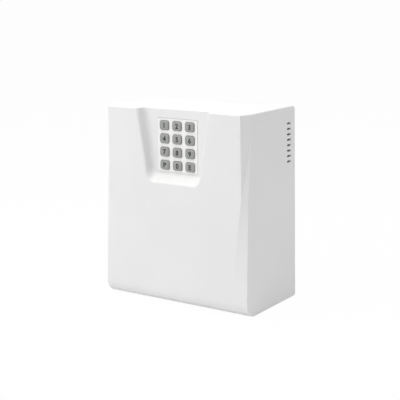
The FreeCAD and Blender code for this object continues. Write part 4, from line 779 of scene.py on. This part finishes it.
class PANEL_OT_keys(bpy.types.Operator):
    """Makes the twelve soft-edged rubber keys"""

    bl_idname = "panel.keys"
    bl_label = "Keys"

    def execute(self, context):
        s = looks()
        grey = rubber("grey_keys", s.key_colour)
        for node, _ in LEGENDS:
            low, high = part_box(node)
            rim = Vector((high.x, low.y + KEY_DEEP, high.z))
            points, faces = key_cap(low, rim, s.cap_round, s.cap_crown)
            cap = piece("cap_" + node, points, faces, node, "key_rubber", grey)
            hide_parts(node)
        return {"FINISHED"}


class PANEL_OT_legends(bpy.types.Operator):
    """Prints the digits and plain letters on the keys"""

    bl_idname = "panel.legends"
    bl_label = "Legends"

    def execute(self, context):
        s = looks()
        f = Finish("legend_ink")
        at = f.place()
        patchy = f.smooth(f.noise(at, 0.5 * MM, 3.0), 0.3, 0.5)
        ink = f.surface(Base_Color=f.mix(patchy, scaled(s.legend_colour, 1.8), s.legend_colour),
                        Roughness=0.5 + patchy * 0.1)
        for node, text in LEGENDS:
            low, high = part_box(node)
            curve = bpy.data.curves.new("legend", "FONT")
            curve.body = text
            curve.size = s.legend_height * LEGEND_FONT
            curve.offset = s.legend_height * LEGEND_BOLD
            curve.extrude = LEGEND_THICK
            curve.resolution_u = LEGEND_STEPS
            maker = bpy.data.objects.new("legend", curve)
            bpy.context.scene.collection.objects.link(maker)
            bpy.context.view_layer.update()
            depsgraph = bpy.context.evaluated_depsgraph_get()
            mesh = bpy.data.meshes.new_from_object(maker.evaluated_get(depsgraph))
            bpy.data.objects.remove(maker)
            co = np.empty(len(mesh.vertices) * 3)
            mesh.vertices.foreach_get("co", co)
            co = co.reshape(-1, 3)
            middle = (co.min(0) + co.max(0)) / 2
            flat = co - middle
            placed = np.stack([flat[:, 0] + (low.x + high.x) / 2 + LEGEND_ASIDE,
                               low.y + LEGEND_SUNK - flat[:, 2],
                               flat[:, 1] + (low.z + high.z) / 2], 1)
            mesh.vertices.foreach_set("co", placed.ravel())
            mesh.materials.clear()
            mesh.materials.append(ink)
            mesh.update()
            made = bpy.data.objects.new("legend_" + node, mesh)
            bpy.context.scene.collection.objects.link(made)
            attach(made, node)
        return {"FINISHED"}


class PANEL_OT_inside(bpy.types.Operator):
    """Finishes the battery, transformer, circuit boards and leads inside the cover"""

    bl_idname = "panel.inside"
    bl_label = "Inside"

    def execute(self, context):
        black = small_moulding("black_mouldings", (0.022, 0.022, 0.024), 0.42, (0.2, 0.008, 0.15), 0.2)
        for node in BLACK_MOULDINGS:
            paint(node, black)
        for node, name, colour, rough, texture, dust in MOULDINGS:
            paint(node, small_moulding(name, colour, rough, texture, dust))
        for node, name, colour in LEADS:
            paint(node, pvc(name, colour))
        paint("battery_terminals", tinned("terminal_tabs"))
        paint("battery_strap", zinc_steel("zinc_strap", along=(1, 1, 20)))
        paint("transformer_core", laminations("core_sheets"))
        paint("transformer_winding", wrapped_tape("coil_tape"))
        paint("transformer_frame", zinc_steel("zinc_bracket", (0.50, 0.50, 0.49), (1, 1, 12)))
        board = solder_mask("solder_mask")
        paint("main_board", board)
        paint("keypad_board", board)
        paint("heat_sink", zinc_steel("sink_aluminium", (0.60, 0.61, 0.62), (30, 1, 1), 0.36))
        paint("fuse_holder", tinned("fuse_clips"))
        paint("fuse", clear_glass("fuse_glass"))
        paint("ribbon_cable", ribbed("grey_ribbon", (0.36, 0.37, 0.39), LEAD_PITCH))
        return {"FINISHED"}


def leads_round(low, high, pitch, count, y):
    """Middles of a chip's leads: `count` along each of its four sides."""
    t = spread(count, pitch)
    x, z = (low.x + high.x) / 2, (low.z + high.z) / 2
    flat = np.full(count, y)
    upright = [np.stack([np.full(count, side), flat, z + t], -1) for side in (low.x, high.x)]
    level = [np.stack([x + t, flat, np.full(count, side)], -1) for side in (low.z, high.z)]
    return np.concatenate(upright), np.concatenate(level)


def outline_bars(low, high, margin, width, y):
    """Lowest and highest corners of four thin printed bars round a part."""
    x0, x1, z0, z1 = low.x - margin, high.x + margin, low.z - margin, high.z + margin
    lows = [(x0, y, z0), (x0, y, z1), (x0, y, z0), (x1, y, z0)]
    highs = [(x1, y, z0 + width), (x1, y, z1 + width), (x0 + width, y, z1), (x1 + width, y, z1)]
    thick = np.array([0, PRINT_THICK / 2, 0])
    return np.array(lows) - thick, np.array(highs) + thick


def tin_blocks(name, middles, size, radius, body):
    """Small tinned metal pieces: leads, pins, wires and ends."""
    return blocks(name, middles, size, radius, body, "terminal_metal",
                  bpy.data.materials["solder_tin"])


def chip_parts(name, places, body):
    """Chip resistors with a tinned end on either side."""
    blocks(name + "s", places, CHIP_PART, PART_EDGE, body, "black_plastic",
           bpy.data.materials["resistor_film"])
    half = (CHIP_PART[0] / 2, 0, 0)
    tin_blocks(name + "_ends", np.concatenate([places - half, places + half]), CHIP_PART_END,
               FINE_EDGE, body)


def small_chips(name, leads_name, places, towards_board, body):
    """Chips with leads on two sides; towards_board is the way along Y, 1 or -1."""
    blocks(name, places, SMALL_CHIP, CHIP_EDGE, body, "black_plastic",
           bpy.data.materials["chip_epoxy"])
    y, z = towards_board * SMALL_CHIP[1] * LEAD_DOWN, SMALL_CHIP[2] * LEAD_OUT
    feet = np.concatenate([places + (dx, y, side * z)
                           for dx in spread(SMALL_CHIP_LEADS, LEAD_PITCH) for side in (-1, 1)])
    tin_blocks(leads_name, feet, SMALL_CHIP_LEAD, FINE_EDGE, body)


class PANEL_OT_board(bpy.types.Operator):
    """Fits the control board's small parts: leads, resistors, crystal, lamps and print"""

    bl_idname = "panel.board"
    bl_label = "Board parts"

    def execute(self, context):
        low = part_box("main_board")[0]
        face = low.y
        tinned("solder_tin")
        dark = small_moulding("chip_epoxy", (0.018, 0.018, 0.019), 0.5, (0.15, 0.006, 0.1), 0.2)
        small_moulding("resistor_film", (0.03, 0.03, 0.032), 0.32, (0.2, 0.003, 0.1), 0.2)
        upright, level = leads_round(*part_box("microcontroller"), LEAD_PITCH, CHIP_LEADS,
                                     face - CHIP_LEAD_MIDDLE)
        tin_blocks("chip_leads_upright", upright, CHIP_LEAD, LEAD_EDGE, "base")
        tin_blocks("chip_leads_level", level, CHIP_LEAD[::-1], LEAD_EDGE, "base")

        y = face - CHIP_PART[1] / 2
        chip_parts("chip_resistor",
                   np.concatenate([field(low, places, y) for places in CHIP_PART_FIELDS]), "base")
        small_chips("small_chips", "small_chip_leads",
                    field(low, SMALL_CHIP_FIELD, face - SMALL_CHIP[1] / 2), 1, "base")

        row = field(low, RESISTOR_FIELD, face - RESISTOR_UP)
        bodies = together([lathe(RESISTOR_SHAPE, middle, 2, 16) for middle in row])
        piece("input_resistors", *bodies, "base", "winding_tape",
              colour_bands("banded_resistors", row[0, 2]))
        aside = np.array([0, RESISTOR_UP / 2, RESISTOR_WIRES_ASIDE * MM])
        tin_blocks("resistor_wires", np.concatenate([row + aside * (1, 1, -1), row + aside]),
                   RESISTOR_WIRE, WIRE_EDGE, "base")

        def middle_of(place, size):
            """Middle of a part that stands on the board at a place in mm."""
            return low.x + place[0] * MM, face - size[1] / 2, low.z + place[1] * MM

        x, y, z = middle_of(CRYSTAL_AT, CRYSTAL)
        blocks("crystal", (x, y - CRYSTAL_UP, z), CRYSTAL, CRYSTAL_EDGE, "base",
               "terminal_metal", zinc_steel("crystal_can", along=(2, 2, 2), rough=0.22))
        for name, colour, slot, place in LAMPS:
            lens = pvc(name + "_lens", colour)
            foot = (low.x + place[0] * MM, face, low.z + place[1] * MM)
            piece(name, *lathe(LAMP_SHAPE, foot, 1, 20), "base", slot, lens)

        x, y, z = middle_of(JUMPER_AT, JUMPER_BASE)
        blocks("jumper_base", (x, y, z), JUMPER_BASE, BASE_EDGE, "base", "black_plastic", dark)
        pins = grid_places(x + spread(3, HEADER_PITCH * MM), z + spread(2, HEADER_PITCH * MM),
                           face - JUMPER_PIN[1] / 2)
        blocks("jumper_pins", pins, JUMPER_PIN, LEAD_EDGE, "base", "terminal_metal",
               tinned("gilt_pins", (0.80, 0.60, 0.26)))

        white = small_moulding("board_print", (0.70, 0.70, 0.66), 0.6, (0.2, 0.004, 0.02), 0.06)
        bars = [outline_bars(*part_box(node), PRINT_MARGIN, PRINT_WIDE, face - PRINT_THICK / 2)
                for node in ("microcontroller", "relay", "board_header", "fuse_holder", "heat_sink")]
        lows, highs = [np.concatenate(corners) for corners in zip(*bars)]
        points, faces = round_blocks(lows, highs, PRINT_THICK / 4)
        piece("printed_outlines", points, faces, "base", "block_white", white, False)
        return {"FINISHED"}


class PANEL_OT_keypad_rear(bpy.types.Operator):
    """Fits the solder, resistors and driver chip on the back of the keypad board"""

    bl_idname = "panel.keypad_rear"
    bl_label = "Keypad board parts"

    def execute(self, context):
        low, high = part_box("keypad_board")
        face = high.y
        chip_parts("keypad_resistor", field(low, KEYPAD_PART_FIELD, face + CHIP_PART[1] / 2), "cover")
        small_chips("driver_chip", "driver_chip_leads",
                    field(low, DRIVER_CHIP_FIELD, face + SMALL_CHIP[1] / 2), -1, "cover")
        domes = together([lathe(SOLDER_SHAPE, foot, 1, 12) for foot in field(low, SOLDER_FIELD, face)])
        piece("keypad_solder", *domes, "cover", "terminal_metal",
              bpy.data.materials["solder_tin"])
        return {"FINISHED"}


class PANEL_OT_power(bpy.types.Operator):
    """Adds the battery's collars and vent strip and the transformer's bobbin"""

    bl_idname = "panel.power"
    bl_label = "Power parts"

    def execute(self, context):
        low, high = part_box("battery")
        tabs_low, tabs_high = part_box("battery_terminals")
        lid = high.z
        y = (tabs_low.y + tabs_high.y) / 2
        reach = COLLAR_REACH
        side_bar = (COLLAR_BAR, 2 * reach + COLLAR_BAR, COLLAR_TALL)
        end_bar = (2 * (reach - COLLAR_BAR / 2 + COLLAR_LAP), COLLAR_BAR, COLLAR_TALL)
        for name, x, colour, slot in (
                ("negative_collar", tabs_low.x + TAB_HALF, (0.02, 0.02, 0.02), "black_plastic"),
                ("positive_collar", tabs_high.x - TAB_HALF, (0.45, 0.02, 0.02), "button_red")):
            finish = small_moulding(name + "_plastic", colour, 0.36, (0.2, 0.005, 0.1), 0.1)
            middle = np.array([x, y, lid + COLLAR_TALL / 2])
            aside, along = np.array([reach, 0, 0]), np.array([0, reach, 0])
            blocks(name + "_sides", [middle - aside, middle + aside], side_bar, CASE_EDGE,
                   "base", slot, finish)
            blocks(name + "_ends", [middle - along, middle + along], end_bar, CASE_EDGE,
                   "base", slot, finish)
        middle = ((low.x + high.x) / 2, (low.y + high.y) / 2 + VENT_STRIP_BACK,
                  lid + VENT_STRIP[2] / 2)
        blocks("vent_strip", middle, VENT_STRIP, STRIP_EDGE, "base", "battery_case",
               bpy.data.materials["battery_case"])
        core_low, core_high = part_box("transformer_core")
        coil_low, coil_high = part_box("transformer_winding")
        y = (coil_low.y + coil_high.y) / 2
        left = (coil_low.x - FLANGE_PROUD + core_low.x) / 2
        right = (coil_high.x + FLANGE_PROUD + core_high.x) / 2
        size = (core_low.x - coil_low.x + FLANGE_PROUD / 2,
                coil_high.y - coil_low.y + 2 * FLANGE_PROUD, FLANGE_THICK)
        flanges = [(x, y, z) for x in (left, right)
                   for z in (coil_low.z - FLANGE_THICK / 2, coil_high.z + FLANGE_THICK / 2)]
        blocks("bobbin_flanges", flanges, size, CASE_EDGE, "base", "black_plastic",
               bpy.data.materials["black_mouldings"])
        tags = [(x, y + dy, coil_high.z + BOBBIN_TAG_UP)
                for x in (left, right) for dy in BOBBIN_TAG_ROW]
        tin_blocks("bobbin_tags", tags, BOBBIN_TAG, WIRE_EDGE, "base")
        return {"FINISHED"}


class PANEL_OT_stage(bpy.types.Operator):
    """Sets the floor, soft lights and camera"""

    bl_idname = "panel.stage"
    bl_label = "Stage"

    def execute(self, context):
        s = looks()
        scene = context.scene
        scene.view_settings.view_transform = "Standard"
        low = CAD_BOX[0].z
        corners = [(x * FLOOR_REACH, y * FLOOR_REACH, low)
                   for x, y in ((-1, -1), (1, -1), (1, 1), (-1, 1))]
        mesh = bpy.data.meshes.new("floor")
        mesh.from_pydata(corners, [], [(0, 1, 2, 3)])
        mesh.materials.append(floor_material("pale_floor"))
        floor = bpy.data.objects.new("floor", mesh)
        scene.collection.objects.link(floor)
        scene.world = surroundings(s.fill_light)
        for name, at, towards, size, power in LIGHTS:
            soft_light(name, at, towards, size, getattr(s, power))
        data = bpy.data.cameras.new("camera")
        data.lens = CAMERA_LENS
        data.sensor_width = CAMERA_SENSOR
        data.clip_start = CAMERA_NEAR
        camera = bpy.data.objects.new("camera", data)
        scene.collection.objects.link(camera)
        right, up = Vector(CAMERA_RIGHT).normalized(), Vector(CAMERA_UP).normalized()
        turn = Matrix((right, up, right.cross(up))).transposed()
        camera.matrix_world = Matrix.Translation(CAMERA_AT) @ turn.to_4x4()
        scene.camera = camera
        return {"FINISHED"}


def seen_directly(f):
    """1 for camera, mirror and see-through rays, 0 for the light that falls on things."""
    rays = [f.node("ShaderNodeLightPath", out=name)
            for name in ("Is Camera Ray", "Is Glossy Ray", "Is Transmission Ray")]
    return rays[0].math("MAXIMUM", rays[1]).math("MAXIMUM", rays[2])


def floor_material(name):
    """White ground that glows a little to the eye, and still takes a soft shadow."""
    f = Finish(name)
    at = f.place()
    pale = f.mix(f.noise(at, 0.4, 2.0), (0.80, 0.80, 0.80), (0.83, 0.83, 0.83))
    matt = f.node("ShaderNodeBsdfDiffuse", None, {"Color": pale})
    glow = f.node("ShaderNodeEmission", None, {"Color": WHITE, "Strength": 1.0})
    share = seen_directly(f) * FLOOR_GLOW
    return f.closed(f.node("ShaderNodeMixShader", None, {0: share, 1: matt, 2: glow}))


def surroundings(level):
    """White where it is seen, and an even soft light where it falls on things."""
    f = Finish("studio", "worlds")
    lit = f.node("ShaderNodeBackground", None, {"Color": COOL, "Strength": level})
    seen = f.node("ShaderNodeBackground", None, {"Color": WHITE, "Strength": FAR_WHITE})
    both = f.node("ShaderNodeMixShader", None, {0: seen_directly(f), 1: lit, 2: seen})
    return f.closed(both, "World")


def soft_light(name, at, towards, size, power):
    """Square area light, faintly warm, aimed at a point."""
    data = bpy.data.lights.new(name, "AREA")
    data.shape = "SQUARE"
    data.size = size
    data.energy = power
    data.color = WARM
    light = bpy.data.objects.new(name, data)
    bpy.context.scene.collection.objects.link(light)
    light.location = at
    light.rotation_mode = "QUATERNION"
    light.rotation_quaternion = (Vector(towards) - Vector(at)).to_track_quat("-Z", "Y")


class PANEL_PT_sidebar(bpy.types.Panel):
    """Lists the panel's settings and steps"""

    bl_idname = "PANEL_PT_sidebar"
    bl_label = "Alarm Keypad Panel"
    bl_space_type = "VIEW_3D"
    bl_region_type = "UI"
    bl_category = "Panel"

    def draw(self, context):
        for name in PanelLooks.__annotations__:
            self.layout.prop(looks(), name)
        for step in STEPS:
            self.layout.operator(step.bl_idname)


STEPS = (PANEL_OT_case, PANEL_OT_keys, PANEL_OT_legends, PANEL_OT_inside, PANEL_OT_board,
         PANEL_OT_keypad_rear, PANEL_OT_power, PANEL_OT_stage)
CLASSES = (PanelLooks,) + STEPS + (PANEL_PT_sidebar,)


def register():
    """Adds the classes and the scene's settings."""
    for cls in CLASSES:
        bpy.utils.register_class(cls)
    bpy.types.Scene.panel_looks = PointerProperty(type=PanelLooks)


def unregister():
    """Takes them away again."""
    del bpy.types.Scene.panel_looks
    for cls in reversed(CLASSES):
        bpy.utils.unregister_class(cls)


def main():
    """Runs the steps in order."""
    register()
    for step in STEPS:
        area, name = step.bl_idname.split(".")
        getattr(getattr(bpy.ops, area), name)()


if __name__ == "__main__":
    main()
